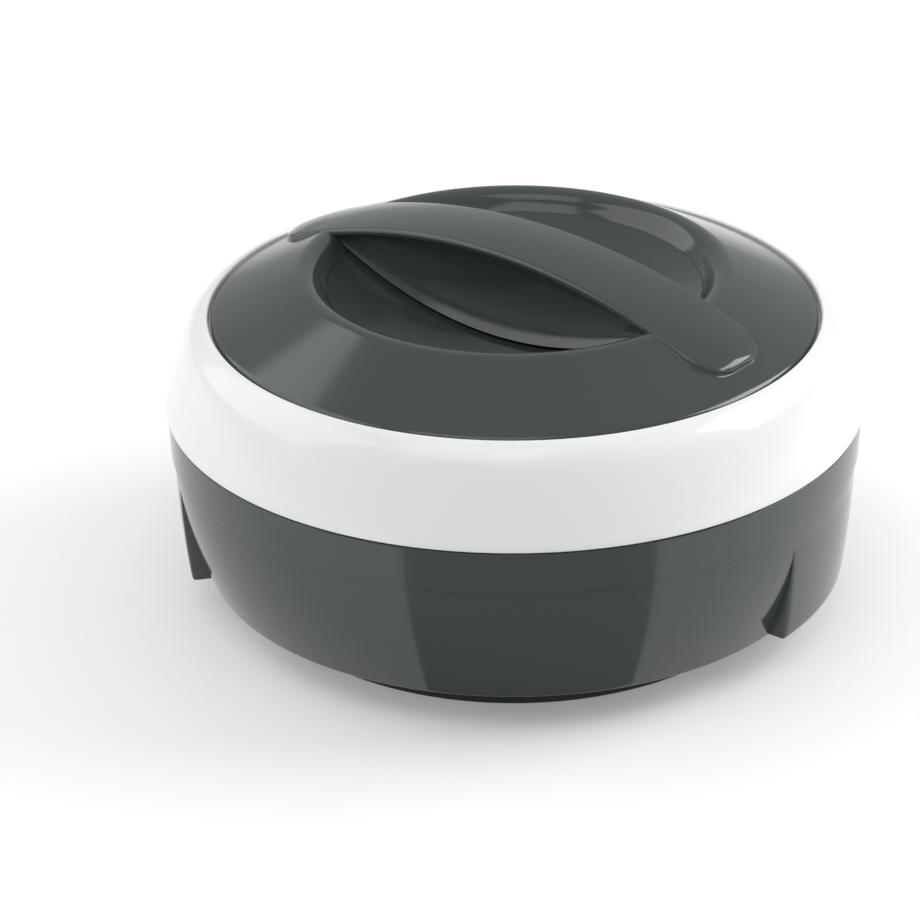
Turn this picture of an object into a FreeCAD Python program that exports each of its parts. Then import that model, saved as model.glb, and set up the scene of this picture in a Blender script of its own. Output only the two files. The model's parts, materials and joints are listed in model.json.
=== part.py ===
import FreeCAD, Part
import math
import os

# Insulated chapati casserole with a twist-lock lid that lifts off.
# Millimetres, +Z up. The origin is on the table, at the middle of the foot.
# The side grips lie along X. The lid is drawn with its handle along X, then turned to its open place.

# Overall sizes
seam_radius = 125.0
seam_height = 76.0
lid_rise = 34.0
wall = 2.6
slip = 0.3
seat_gap = 0.1

# Bowl of the outer shell
band_inset = 0.7
band_drop = 0.3
band_depth = 15.2
band_taper = 0.7
step_in = 0.8
step_drop = 1.8
bowl_inset = 14.0
bowl_bulge = 2.2
underside_height = 14.0
lower_edge_round = 1.8
base_opening_inset = 31.0

# Side grips with a finger recess that opens downwards
grip_half_angle = 25.5
grip_top_height = 56.0
grip_bottom_height = 15.6
grip_bottom_inset = 6.1
grip_bulge = 0.5
grip_edge_round = 1.6
grip_tuck = 0.4
recess_inner_inset = 20.0
recess_slant = 4.5
recess_top_height = 42.0
recess_round = 3.0
recess_tuck = 1.4

# Base cover, foot ring and their screws
base_flange_inset = 21.0
base_flange = 2.4
foot_inset = 32.6
foot_clear = 1.0
foot_width = 11.4
foot_depth = 4.6
foot_flare = 2.2
foot_draft = 2.0
foot_land = 0.4
foot_slant = 1.4
plate_round = 1.0
base_recess_height = 5.0
base_plate = 2.4
ring_groove_inset = 1.9
ring_groove_width = 6.0
ring_groove_depth = 2.2
base_screw_inset = 25.5
base_screw_count = 4
base_boss_height = 12.0
boss_radius = 3.8
boss_rib = 2.0
boss_end = 2.0
plug_radius = 6.0
plug_head_radius = 9.0
plug_head = 1.2
plug_stem_rise = 1.4
plug_round = 0.6

# Screws, all of one thread
screw_radius = 1.5
screw_fit = 0.05
screw_head_radius = 2.9
screw_head = 1.9
screw_hole_spare = 0.4
cut_spare = 1.0
screw_socket_radius = 1.3
screw_socket_depth = 1.1

# Neck of the rim collar, with its catches
neck_inset = 15.0
neck_height = 12.3
neck_wall = 2.4
neck_lip_width = 6.8
neck_lip_wall = 1.8
collar_lip_drop = 8.0
collar_skirt_drop = 5.7
collar_draft = 0.4
lug_count = 4
catch_angle = 18.0
catch_reach = 3.0
catch_height = 2.6
catch_drop = 4.4
stop_angle = 2.5
catch_root = 1.0
catch_join = 0.5
catch_join_depth = 0.5
catch_round = 0.8
turn_angle = 26.0

# Steel liner
liner_steel = 0.7
liner_rim_clear = 0.5
liner_taper = 9.0
liner_floor_height = 19.3
liner_corner_round = 20.0
liner_bead_radius = 1.1
liner_bead_offset = 2.0

# White lid ring
ring_edge_round = 1.0
ring_gap = 0.5
ring_shoulder_inset = 7.0
ring_shoulder_drop = 8.6
ring_side_bulge = 0.4
ring_shoulder_bulge = 1.2
ring_lip_inset = 15.0
ring_lip_above_rim = 0.6
ring_lip_width = 1.0
ledge = 2.4
ledge_reach = 13.8

# Lid collar with its lugs and seal groove
collar_clear = 0.6
collar_wall = 2.4
collar_bottom_gap = 0.6
collar_ring_gap = 1.0
lug_height = 3.2
lug_clear = 0.4
seal_groove_offset = 2.2
seal_groove_width = 6.0
seal_groove_depth = 2.6
groove_lip = 1.8
collar_plate_rise = 6.0
dish_seat = 5.0
seal_lip = 1.6
seal_foot_width = 3.1

# Steel inner dish of the lid
dish_steel = 0.7
dish_clear = 0.4
dish_flat = 9.8
dish_rise = 2.8

# Grey top cover: disc, crest and the opening of the scoop
disc_inset = 17.2
disc_wall = 2.4
disc_slope = 27.2
disc_rim_round = 2.4
rim_skirt = 3.8
crest_inset = 52.7
crest_round = 6.0
scoop_wall_inset = 58.2
scoop_wall_drop = 8.7
cover_boss_reach = 9.3
cover_boss_radius = 3.2
cover_hole_end = 1.6
cover_screw_count = 6

# Arched strap and the curved webs below it
strap_half_width = 15.3
strap_end_half_width = 17.0
strap_end_margin = 8.0
strap_corner = 13.0
strap_edge = 2.4
strap_crown = 1.2
strap_rise = 9.7
strap_proud = 2.6
strap_edge_round = 0.9
pad_start_inset = 55.5
pad_depth = 14.0
pad_sink = 1.0
strap_spare = 6.0
web_top_half_width = 14.5
web_foot_half_width = 13.0
web_waist = 5.0
web_wall = 2.2
web_gap = 2.0
web_sections = 9
web_overlap = 0.6
web_end_solid = 16.0
handle_screw_offset = 22.0
handle_hole_top = 14.0
handle_screw_sink = 0.7

# Scoop bowl, a separate insert below the strap
scoop_depth = 17.0
scoop_wall = 2.2
scoop_fit = 0.2
scoop_step = 2.3
scoop_flange = 4.3
bowl_rim_land = 2.0
bowl_rim_slant = 1.0

# Lid foam
foam_clear = 0.8
foam_corner = 2.8

# Places worked out from the sizes above
top_of_body = seam_height - band_drop
band_bottom = seam_height - band_depth - band_drop
step_bottom = band_bottom - step_drop
neck_radius = seam_radius - neck_inset
neck_lip_radius = neck_radius - neck_lip_width
liner_rim_radius = neck_lip_radius - liner_rim_clear
liner_bead_place = neck_radius - liner_bead_offset
collar_skirt_radius = neck_radius + catch_reach + collar_clear
groove_outer = liner_bead_place + seal_groove_offset
groove_inner = groove_outer - seal_groove_width
dish_edge = groove_inner - groove_lip - dish_clear
plate_inner = dish_edge - dish_seat
neck_top = top_of_body + neck_height
catch_top = neck_top - catch_drop
catch_bottom = catch_top - catch_height
ring_bottom = top_of_body + ring_gap
rim_height = seam_height + lid_rise
disc_radius = seam_radius - disc_inset
ledge_inner = disc_radius - ledge_reach
cover_boss_place = disc_radius - cover_boss_reach
crest_radius = seam_radius - crest_inset
scoop_radius = seam_radius - scoop_wall_inset
ledge_top = rim_height - rim_skirt
plate_bottom = neck_top + collar_plate_rise
plate_top = plate_bottom + collar_wall
bowl_bottom_radius = seam_radius - bowl_inset
recess_inner_radius = seam_radius - recess_inner_inset
handle_angle = -turn_angle


def disc_height(radius):
    """Height of the grey disc's sloped face at a distance from the axis."""
    return rim_height + (disc_radius - radius) * math.tan(math.radians(disc_slope))


crest_height = disc_height(crest_radius)
scoop_edge_height = crest_height - scoop_wall_drop
scoop_floor_height = scoop_edge_height - scoop_depth
strap_top = crest_height + strap_rise
strap_half_length = disc_radius - strap_end_margin
strap_tip_height = disc_height(strap_half_length) + strap_proud
strap_drop = strap_top - strap_tip_height
strap_arch = (strap_half_length ** 2 + strap_drop ** 2) / (2 * strap_drop)


def point(radius, height):
    return FreeCAD.Vector(radius, 0, height)


def bulged(start, end, bulge):
    """Middle point of an arc that stands off its chord, to the chord's right."""
    (r1, z1), (r2, z2) = start, end
    length = math.hypot(r2 - r1, z2 - z1)
    side_r = (z2 - z1) / length
    side_z = -(r2 - r1) / length
    return ((r1 + r2) / 2 + side_r * bulge, (z1 + z2) / 2 + side_z * bulge)


def outline(corners):
    """Closed wire in the XZ plane. A corner is (r, z) or (r, z, round radius);
    ("arc", r, z) is the middle of an arc from the corner before it to the corner after it."""
    edges = []
    count = len(corners)
    places = []
    for index, corner in enumerate(corners):
        if corner[0] == "arc" or len(corner) == 2:
            places.append(None)
            continue
        before = corners[index - 1]
        after = corners[(index + 1) % count]
        places.append(round_corner(before, corner, after))
    for index, corner in enumerate(corners):
        if corner[0] == "arc":
            continue
        if places[index]:
            start, middle, end = places[index]
            edges.append(Part.Arc(start, middle, end).toShape())
        leave = places[index][2] if places[index] else point(corner[0], corner[1])
        after = corners[(index + 1) % count]
        step = 1
        if after[0] == "arc":
            step = 2
        target = (index + step) % count
        arrive = places[target][0] if places[target] else point(*corners[target][:2])
        if step == 2:
            edges.append(Part.Arc(leave, point(after[1], after[2]), arrive).toShape())
        elif leave.distanceToPoint(arrive) > 1e-6:
            edges.append(Part.LineSegment(leave, arrive).toShape())
    return Part.Wire(edges)


def round_corner(before, corner, after):
    """Start, middle and end of the arc that rounds a corner between two straight sides."""
    here = point(corner[0], corner[1])
    to_before = (point(before[0], before[1]) - here).normalize()
    to_after = (point(after[0], after[1]) - here).normalize()
    half = to_before.getAngle(to_after) / 2
    reach = corner[2] / math.tan(half)
    inward = (to_before + to_after).normalize()
    centre = here + inward * (corner[2] / math.sin(half))
    return here + to_before * reach, centre - inward * corner[2], here + to_after * reach


def turned(corners, start_angle=0.0, sweep=360.0):
    """Solid of revolution about the Z axis."""
    face = Part.Face(outline(corners))
    face.rotate(FreeCAD.Vector(0, 0, 0), FreeCAD.Vector(0, 0, 1), start_angle)
    return face.revolve(FreeCAD.Vector(0, 0, 0), FreeCAD.Vector(0, 0, 1), sweep)


def around(shape, count, start_angle=0.0):
    """Copies of a shape, evenly spaced about the Z axis."""
    copies = []
    for index in range(count):
        copy = shape.copy()
        angle = start_angle + index * 360.0 / count
        copy.rotate(FreeCAD.Vector(0, 0, 0), FreeCAD.Vector(0, 0, 1), angle)
        copies.append(copy)
    return copies


def post(radius, low, high, x, y=0.0):
    return Part.makeCylinder(radius, high - low, FreeCAD.Vector(x, y, low))


def circle_edges(shape, radius, height):
    """Round edges about the Z axis at one radius and height."""
    found = []
    for edge in shape.Edges:
        middle = edge.valueAt((edge.FirstParameter + edge.LastParameter) / 2)
        if abs(math.hypot(middle.x, middle.y) - radius) < 0.01 and abs(middle.z - height) < 0.01:
            found.append(edge)
    return found


def screw(head_height, tip_height, x, y=0.0):
    """Pan head screw that points up, with its head below and a round socket in it."""
    body = post(screw_radius, head_height - 0.2, tip_height, x, y)
    head = post(screw_head_radius, head_height - screw_head, head_height, x, y)
    socket = post(
        screw_socket_radius, head_height - screw_head, head_height - screw_head + screw_socket_depth, x, y
    )
    return body.fuse(head).cut(socket).removeSplitter()


def bowl_side(inset):
    """Bowl profile from the step line down to the underside, moved inwards by a wall."""
    top = (seam_radius - band_inset - band_taper - step_in - inset, step_bottom)
    bottom = (bowl_bottom_radius - inset, underside_height)
    return top, bulged(bottom, top, bowl_bulge), bottom


def grip_side(inset):
    """Outer profile of a side grip, from where it leaves the bowl to its lower edge."""
    top = (seam_radius - band_inset - band_taper - step_in - grip_tuck - inset, grip_top_height)
    bottom = (seam_radius - grip_bottom_inset - inset, grip_bottom_height)
    return top, bulged(bottom, top, grip_bulge), bottom


def bowl_form(inset, bottom, top):
    """Round solid inside the band and bowl profile, from one height to another."""
    upper, middle, lower = bowl_side(inset)
    return turned([
        (0, bottom),
        (lower[0], bottom),
        ("arc", *middle),
        upper,
        (seam_radius - band_inset - band_taper - inset, band_bottom),
        (seam_radius - band_inset - inset, top),
        (0, top),
    ])


def grip_block():
    upper, middle, lower = grip_side(0)
    inner = recess_inner_radius - wall
    half = grip_half_angle
    block = turned([(inner, lower[1]), lower, ("arc", *middle), upper, (inner, upper[1])], -half, 2 * half)
    ends = []
    for edge in block.Edges:
        middle = edge.valueAt((edge.FirstParameter + edge.LastParameter) / 2)
        upright = abs(edge.tangentAt(edge.FirstParameter).z) > 0.9
        if upright and math.hypot(middle.x, middle.y) > lower[0]:
            ends.append(edge)
    return block.makeFillet(grip_edge_round, ends)


def finger_recess(grow):
    """Space behind a grip for the fingers, open downwards. Grown by a wall it keeps the foam out."""
    upper, _, lower = grip_side(wall - grow)
    top = recess_top_height + grow
    inner = recess_inner_radius - grow
    half = grip_half_angle - math.degrees((wall - grow) / seam_radius)
    outer_top = bowl_side(wall - grow)[1][0] + recess_tuck
    corner = recess_round + grow
    return turned([
        (inner, 0),
        (inner, underside_height),
        (inner + recess_slant, top, corner),
        (outer_top, top, corner),
        (lower[0], grip_bottom_height),
        (lower[0], 0),
    ], -half, 2 * half)


def base_boss():
    """Screw boss that stands on the shell's underside, with a rib to the wall."""
    place = seam_radius - base_screw_inset
    low = underside_height
    boss = post(boss_radius, low, low + wall + base_boss_height, place)
    reach = bowl_bottom_radius - place + wall + boss_end
    high = wall + base_boss_height - boss_end
    return boss.fuse(Part.makeBox(reach, boss_rib, high, FreeCAD.Vector(place, -boss_rib / 2, low)))


def boss_hole():
    top = underside_height + wall + base_boss_height - boss_end
    return post(screw_radius + screw_fit, 0, top, seam_radius - base_screw_inset)


def outer_shell():
    form = bowl_form(0, underside_height, top_of_body)
    form = form.makeFillet(lower_edge_round, circle_edges(form, bowl_bottom_radius, underside_height))
    cavity = bowl_form(wall, underside_height + wall, top_of_body)
    for grip in around(grip_block(), 2):
        form = form.fuse(grip)
    for recess in around(finger_recess(wall), 2):
        cavity = cavity.cut(recess)
    bosses = around(base_boss(), base_screw_count, 45)
    for boss in bosses:
        cavity = cavity.cut(boss)
    shell = form.cut(cavity)
    for recess in around(finger_recess(0), 2):
        shell = shell.cut(recess)
    opening = post(seam_radius - base_opening_inset, 0, underside_height + 2 * wall, 0)
    shell = shell.cut(opening)
    for hole in around(boss_hole(), base_screw_count, 45):
        shell = shell.cut(hole)
    return shell


def base_cover():
    flange_radius = seam_radius - base_flange_inset
    collar_radius = seam_radius - base_opening_inset - seat_gap
    foot_radius = seam_radius - foot_inset
    flange_bottom = underside_height - base_flange
    foot_inner = foot_radius - foot_width
    foot_top = foot_clear + foot_depth
    plate_high = base_recess_height + base_plate
    cover = turned([
        (0, base_recess_height),
        (foot_inner - foot_draft, base_recess_height, 1.0),
        (foot_inner, foot_clear, 1.0),
        (foot_radius, foot_clear, 1.4),
        (foot_radius + foot_flare, flange_bottom, 1.2),
        (flange_radius, flange_bottom),
        (flange_radius, underside_height),
        (collar_radius, underside_height),
        (collar_radius, underside_height + wall),
        (collar_radius - base_plate, underside_height + wall),
        (foot_radius - base_plate, foot_top, plate_round),
        (foot_inner + foot_land, foot_top, plate_round),
        (foot_inner - foot_slant, plate_high, plate_round),
        (0, plate_high),
    ])
    ring_groove_outer = foot_radius - ring_groove_inset
    groove_top = foot_clear + ring_groove_depth
    groove = turned([
        (ring_groove_outer - ring_groove_width, 0),
        (ring_groove_outer, 0),
        (ring_groove_outer, groove_top),
        (ring_groove_outer - ring_groove_width, groove_top),
    ])
    cover = cover.cut(groove)
    cover = cover.cut(post(plug_radius, 0, plate_high + cut_spare, 0))
    hole = post(screw_radius + seat_gap, 0, underside_height + cut_spare, seam_radius - base_screw_inset)
    for copy in around(hole, base_screw_count, 45):
        cover = cover.cut(copy)
    return cover


def foot_ring():
    outer = seam_radius - foot_inset - ring_groove_inset - seat_gap
    inner = outer - ring_groove_width + 2 * seat_gap
    top = foot_clear + ring_groove_depth - seat_gap
    return turned([(inner, 0, 0.5), (outer, 0, 0.5), (outer, top), (inner, top)])


def foam_fill_plug():
    low = base_recess_height - plug_head
    high = base_recess_height + base_plate + plug_stem_rise
    stem = plug_radius - seat_gap
    return turned([
        (0, low),
        (plug_head_radius, low, plug_round),
        (plug_head_radius, base_recess_height),
        (stem, base_recess_height),
        (stem, high, plug_round),
        (0, high),
    ])


def base_screws():
    head = underside_height - base_flange
    one = screw(head, head + base_flange + base_boss_height - screw_hole_spare, seam_radius - base_screw_inset)
    return Part.makeCompound(around(one, base_screw_count, 45))


def rim_collar():
    """Top of the body: flange in the shell's mouth, neck, catches and their end stops."""
    flange_radius = seam_radius - band_inset - wall - 2 * seat_gap
    skirt_radius = flange_radius - collar_draft
    skirt_bottom = top_of_body - collar_skirt_drop
    neck_inner = neck_radius - neck_wall
    lip_bottom = neck_top - collar_lip_drop
    collar = turned([
        (neck_radius, top_of_body),
        (neck_radius, neck_top, 1.0),
        (neck_lip_radius, neck_top),
        (neck_lip_radius, lip_bottom),
        (neck_lip_radius + neck_lip_wall, lip_bottom),
        (neck_lip_radius + neck_lip_wall, neck_top - neck_wall),
        (neck_inner, neck_top - neck_wall),
        (neck_inner, top_of_body - neck_wall),
        (skirt_radius - neck_wall, top_of_body - neck_wall),
        (skirt_radius - neck_wall, skirt_bottom),
        (skirt_radius, skirt_bottom),
        (flange_radius, top_of_body - neck_wall),
        (flange_radius, top_of_body),
    ])
    inner = neck_radius - catch_root
    outer = neck_radius + catch_reach
    half = catch_angle / 2
    tab = turned([
        (inner, catch_bottom), (outer, catch_bottom), (outer, catch_top, catch_round), (inner, catch_top),
    ], -half, catch_angle)
    stop_low = top_of_body - catch_join_depth
    stop = turned([
        (inner, stop_low), (outer, stop_low), (outer, catch_top, catch_round), (inner, catch_top),
    ], half + catch_join, stop_angle)
    bridge = turned([
        (inner, catch_bottom), (outer, catch_bottom), (outer, catch_top, catch_round), (inner, catch_top),
    ], half - catch_join, 3 * catch_join)
    catch = tab.fuse([stop, bridge]).removeSplitter()
    for copy in around(catch, lug_count, 45):
        collar = collar.fuse(copy)
    return collar.removeSplitter()


def liner_corners(inset):
    """Side and floor of the liner, moved inwards by an inset."""
    slope = math.atan2(liner_taper, neck_top - liner_floor_height)
    aside = inset / math.cos(slope)
    floor = liner_floor_height + inset
    foot = liner_rim_radius - liner_taper - aside + inset * math.tan(slope)
    return (liner_rim_radius - aside, neck_top), (foot, floor, liner_corner_round - inset), (0, floor)


def steel_liner():
    outer_top, outer_foot, outer_floor = liner_corners(0)
    inner_top, inner_foot, inner_floor = liner_corners(liner_steel)
    bead = liner_bead_place
    rim_top = neck_top + liner_steel
    cup = turned([
        outer_floor,
        outer_foot,
        outer_top,
        (bead, neck_top),
        (bead, rim_top),
        (inner_top[0], rim_top),
        inner_foot,
        inner_floor,
    ])
    roll = Part.makeTorus(bead, liner_bead_radius, FreeCAD.Vector(0, 0, neck_top + liner_bead_radius))
    return cup.fuse(roll).removeSplitter()


def body_foam():
    outer_top, outer_foot, outer_floor = liner_corners(-slip)
    lower = bowl_side(wall + slip)
    bottom = underside_height + wall + slip
    foot_radius = seam_radius - foot_inset
    foot_inner = foot_radius - foot_width
    plate_high = base_recess_height + base_plate + slip
    foot_top = foot_clear + foot_depth + slip
    collar_inner = seam_radius - base_opening_inset - seat_gap - base_plate - slip
    top = top_of_body - collar_skirt_drop - slip
    band = seam_radius - band_inset - band_taper - wall - slip
    core = turned([
        (0, plate_high),
        (foot_inner - foot_slant - slip, plate_high),
        (foot_inner + foot_land + slip, foot_top),
        (foot_radius - base_plate - foot_land - slip, foot_top),
        (collar_inner, bottom),
        (lower[2][0], bottom),
        ("arc", *lower[1]),
        lower[0],
        (band, band_bottom),
        (band, top),
        (outer_top[0], top),
        outer_foot,
        outer_floor,
    ])
    for recess in around(finger_recess(wall + slip), 2):
        core = core.cut(recess)
    place = seam_radius - base_screw_inset
    high = underside_height + wall + base_boss_height + slip
    keep = post(boss_radius + slip, 0, high, place)
    rib_width = boss_rib + 2 * slip
    reach = bowl_bottom_radius - place + wall + boss_end
    rib = Part.makeBox(reach, rib_width, high, FreeCAD.Vector(place, -rib_width / 2, 0))
    for copy in around(keep.fuse(rib), base_screw_count, 45):
        core = core.cut(copy)
    return core.cut(post(plug_radius + slip, 0, plate_high + plug_stem_rise + slip, 0))


def lid_seal():
    """Soft ring in the collar's groove, with a lip that meets the liner's bead."""
    outer = groove_outer - slip
    inner = groove_inner + slip
    top = plate_bottom - slip
    low = neck_top + 2 * liner_bead_radius + slip
    return turned([
        (inner, top),
        (inner, low + seal_lip),
        (outer - seal_foot_width - slip, low, 0.3),
        (outer, low, 0.3),
        (outer, top),
    ])


def lid_collar():
    """Inner part of the lid: skirt with lugs, plate with the seal groove."""
    skirt_outer = collar_skirt_radius + collar_wall
    skirt_bottom = top_of_body + ring_gap + collar_bottom_gap
    foot_radius = seam_radius - wall - collar_ring_gap
    groove_low = plate_bottom - seal_groove_depth
    collar = turned([
        (collar_skirt_radius, skirt_bottom),
        (foot_radius, skirt_bottom),
        (foot_radius, skirt_bottom + collar_wall),
        (skirt_outer, skirt_bottom + collar_wall),
        (skirt_outer, plate_top, 2.0),
        (plate_inner, plate_top),
        (plate_inner, plate_bottom),
        (groove_inner - groove_lip, plate_bottom),
        (groove_inner - groove_lip, groove_low),
        (groove_inner, groove_low),
        (groove_inner, plate_bottom),
        (groove_outer, plate_bottom),
        (groove_outer, groove_low),
        (groove_outer + groove_lip, groove_low),
        (groove_outer + groove_lip, plate_bottom),
        (collar_skirt_radius, plate_bottom, 1.0),
    ])
    lug_top = catch_bottom - lug_clear
    lug = turned([
        (collar_skirt_radius + 1.0, lug_top),
        (neck_radius + lug_clear, lug_top),
        (neck_radius + lug_clear, lug_top - lug_height, 0.8),
        (collar_skirt_radius + 1.0, lug_top - lug_height),
    ], -catch_angle / 2, catch_angle)
    for copy in around(lug, lug_count, 45):
        collar = collar.fuse(copy)
    return collar.removeSplitter()


def ring_profile(inset):
    """Side and shoulder of the lid ring, moved inwards by an inset."""
    foot = (seam_radius - inset, ring_bottom)
    shoulder = (seam_radius - ring_shoulder_inset - inset, rim_height - ring_shoulder_drop - 0.3 * inset)
    lip = (seam_radius - ring_lip_inset - 0.4 * inset, rim_height + ring_lip_above_rim - inset)
    return foot, shoulder, lip


def lid_ring():
    foot, shoulder, lip = ring_profile(0)
    inner_foot, inner_shoulder, _ = ring_profile(wall)
    lip_inner = lip[0] - ring_lip_width
    ledge_low = ledge_top - ledge
    ring = turned([
        foot,
        ("arc", *bulged(foot, shoulder, ring_side_bulge)),
        shoulder,
        ("arc", *bulged(shoulder, lip, ring_shoulder_bulge)),
        lip,
        (lip_inner, lip[1]),
        (lip_inner, ledge_top),
        (ledge_inner, ledge_top),
        (ledge_inner, ledge_low),
        (inner_shoulder[0] - 2.4, ledge_low),
        (inner_shoulder[0], inner_shoulder[1] - 1.0),
        ("arc", *bulged(inner_foot, (inner_shoulder[0], inner_shoulder[1] - 1.0), ring_side_bulge)),
        inner_foot,
    ])
    ring = ring.makeFillet(ring_edge_round, circle_edges(ring, seam_radius, ring_bottom))
    hole = post(screw_radius + seat_gap, ledge_low - 1.0, ledge_top + 1.0, cover_boss_place)
    for copy in around(hole, cover_screw_count, 30):
        ring = ring.cut(copy)
    return ring


def strap_section(thickness):
    """Cross section of the strap at its middle, with a crowned top."""
    reach = strap_end_half_width + strap_spare
    crown_radius = strap_half_width ** 2 / (2 * strap_crown)
    edge_height = strap_top + strap_crown - crown_radius + math.sqrt(crown_radius ** 2 - reach ** 2)
    low = strap_top - thickness
    left = FreeCAD.Vector(0, -reach, edge_height)
    right = FreeCAD.Vector(0, reach, edge_height)
    crown = FreeCAD.Vector(0, 0, strap_top + strap_crown)
    bottom_left = FreeCAD.Vector(0, -reach, low)
    bottom_right = FreeCAD.Vector(0, reach, low)
    return Part.Face(Part.Wire([
        Part.LineSegment(bottom_left, left).toShape(),
        Part.Arc(left, crown, right).toShape(),
        Part.LineSegment(right, bottom_right).toShape(),
        Part.LineSegment(bottom_right, bottom_left).toShape(),
    ]))


def arched_bar(thickness):
    """Bar of the strap's section along its arch, longer than the strap."""
    half = math.degrees(math.asin((strap_half_length + strap_spare) / strap_arch))
    centre = FreeCAD.Vector(0, 0, strap_top - strap_arch)
    across = FreeCAD.Vector(0, 1, 0)
    section = strap_section(thickness)
    section.rotate(centre, across, -half)
    return section.revolve(centre, across, 2 * half)


def strap_plan():
    """Outline of the strap seen from above, raised to a prism."""
    side = strap_end_half_width
    end = strap_half_length
    turn = end - strap_corner
    corner = strap_corner
    edges = []
    for sign in (1, -1):
        start = FreeCAD.Vector(-sign * turn, sign * side, 0)
        middle = FreeCAD.Vector(0, sign * strap_half_width, 0)
        stop = FreeCAD.Vector(sign * turn, sign * side, 0)
        edges.append(Part.Arc(start, middle, stop).toShape())
        diagonal = corner * math.sqrt(0.5)
        bend = FreeCAD.Vector(sign * (turn + diagonal), sign * (side - corner + diagonal), 0)
        flat = FreeCAD.Vector(sign * end, sign * (side - corner), 0)
        edges.append(Part.Arc(stop, bend, flat).toShape())
        flat_end = FreeCAD.Vector(sign * end, -sign * (side - corner), 0)
        edges.append(Part.LineSegment(flat, flat_end).toShape())
        bend_end = FreeCAD.Vector(sign * (turn + diagonal), -sign * (side - corner + diagonal), 0)
        last = FreeCAD.Vector(sign * turn, -sign * side, 0)
        edges.append(Part.Arc(flat_end, bend_end, last).toShape())
    plan = Part.Face(Part.Wire(edges))
    return plan.extrude(FreeCAD.Vector(0, 0, 2 * strap_top))


def strap():
    """Arched strap with its rounded upper edge."""
    bar = arched_bar(strap_edge).common(strap_plan())
    upper = []
    for edge in bar.Edges:
        middle = edge.valueAt((edge.FirstParameter + edge.LastParameter) / 2)
        outward = math.hypot(middle.x, middle.z - strap_top + strap_arch) - strap_arch
        if outward > -0.8 * strap_edge and abs(edge.tangentAt(edge.FirstParameter).z) < 0.8:
            upper.append(edge)
    return bar.makeFillet(strap_edge_round, upper)


def under_disc(depth):
    """Everything below the disc's sloped face, lowered by a depth."""
    reach = seam_radius
    return turned([(0, 0), (reach, 0), (reach, disc_height(reach) - depth), (0, disc_height(0) - depth)])


def end_pads():
    """Solid ends of the strap, down to the disc."""
    pads = []
    block = arched_bar(pad_depth).common(strap_plan()).cut(under_disc(pad_sink))
    start = seam_radius - pad_start_inset
    for sign in (1, -1):
        room = Part.makeBox(
            strap_half_length, strap_half_length, strap_top,
            FreeCAD.Vector(start, -strap_half_length / 2, scoop_edge_height - pad_depth),
        )
        if sign < 0:
            room.rotate(FreeCAD.Vector(0, 0, 0), FreeCAD.Vector(0, 0, 1), 180)
        thick = block.common(room)
        pads.append(thick.cut(arched_bar(strap_edge - web_overlap)))
    return pads


def strap_underside(along):
    centre = strap_top - strap_arch
    return centre + math.sqrt((strap_arch - strap_edge) ** 2 - along ** 2)


def web_bottom(along):
    """Lower line of the webs: an arc from just over the scoop's floor up to the strap."""
    end = crest_radius
    low = scoop_floor_height + web_gap
    rise = strap_underside(end) - low
    radius = (end ** 2 + rise ** 2) / (2 * rise)
    return low + radius - math.sqrt(radius ** 2 - along ** 2)


def web_form(thin, low_extra, end):
    """Loft through waisted cross sections, as wide as the webs less a wall on each side."""
    tallest = strap_underside(0) - web_bottom(0)
    wires = []
    for index in range(web_sections):
        along = -end + 2 * end * index / (web_sections - 1)
        top = strap_underside(along)
        low = web_bottom(along)
        share = (top - low) / tallest
        waist = (web_top_half_width + web_foot_half_width) / 2 - web_waist * share - thin
        upper = web_top_half_width - thin
        lower = web_foot_half_width - thin
        middle = (top + low) / 2
        if thin == 0:
            top = top + web_overlap
        corners = []
        for side, height in ((upper, top), (waist, middle), (lower, low - low_extra)):
            corners.append(FreeCAD.Vector(along, side, height))
        mirror = []
        for corner in corners:
            mirror.append(FreeCAD.Vector(corner.x, -corner.y, corner.z))
        wires.append(Part.Wire([
            Part.Arc(corners[0], corners[1], corners[2]).toShape(),
            Part.LineSegment(corners[2], mirror[2]).toShape(),
            Part.Arc(mirror[2], mirror[1], mirror[0]).toShape(),
            Part.LineSegment(mirror[0], corners[0]).toShape(),
        ]))
    return Part.makeLoft(wires, True, False)


def scoop_room(grow):
    """Round space inside the scoop's wall, grown outwards."""
    foot = scoop_radius + grow
    return turned([
        (0, 0),
        (foot, 0),
        (foot, scoop_edge_height),
        (crest_radius + grow, crest_height),
        (crest_radius + grow, strap_top + strap_crown),
        (0, strap_top + strap_crown),
    ])


def webs():
    """Curved webs below the strap, hollow and open downwards, with two screw bosses."""
    end = crest_radius
    shell = web_form(0, 0, end).cut(web_form(web_wall, web_wall, scoop_radius - web_end_solid))
    shell = shell.common(scoop_room(0.5 * disc_wall))
    bowl = scoop_form(-seat_gap)
    for sign in (1, -1):
        along = sign * handle_screw_offset
        boss = post(boss_radius, scoop_floor_height, strap_underside(along) + web_overlap, along).cut(bowl)
        shell = shell.fuse(boss)
    return shell


def scoop_radius_of_arc():
    edge = scoop_radius - scoop_fit
    return (edge ** 2 + scoop_depth ** 2) / (2 * scoop_depth)


def scoop_form(sink):
    """Ball cap below the scoop's face, lowered by a depth."""
    ball_radius = scoop_radius_of_arc()
    low = scoop_floor_height - sink
    edge = scoop_radius + scoop_flange
    middle = edge / 2
    return turned([
        (0, 0),
        (edge, 0),
        (edge, low + ball_radius - math.sqrt(ball_radius ** 2 - edge ** 2)),
        ("arc", middle, low + ball_radius - math.sqrt(ball_radius ** 2 - middle ** 2)),
        (0, low),
    ])


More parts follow.
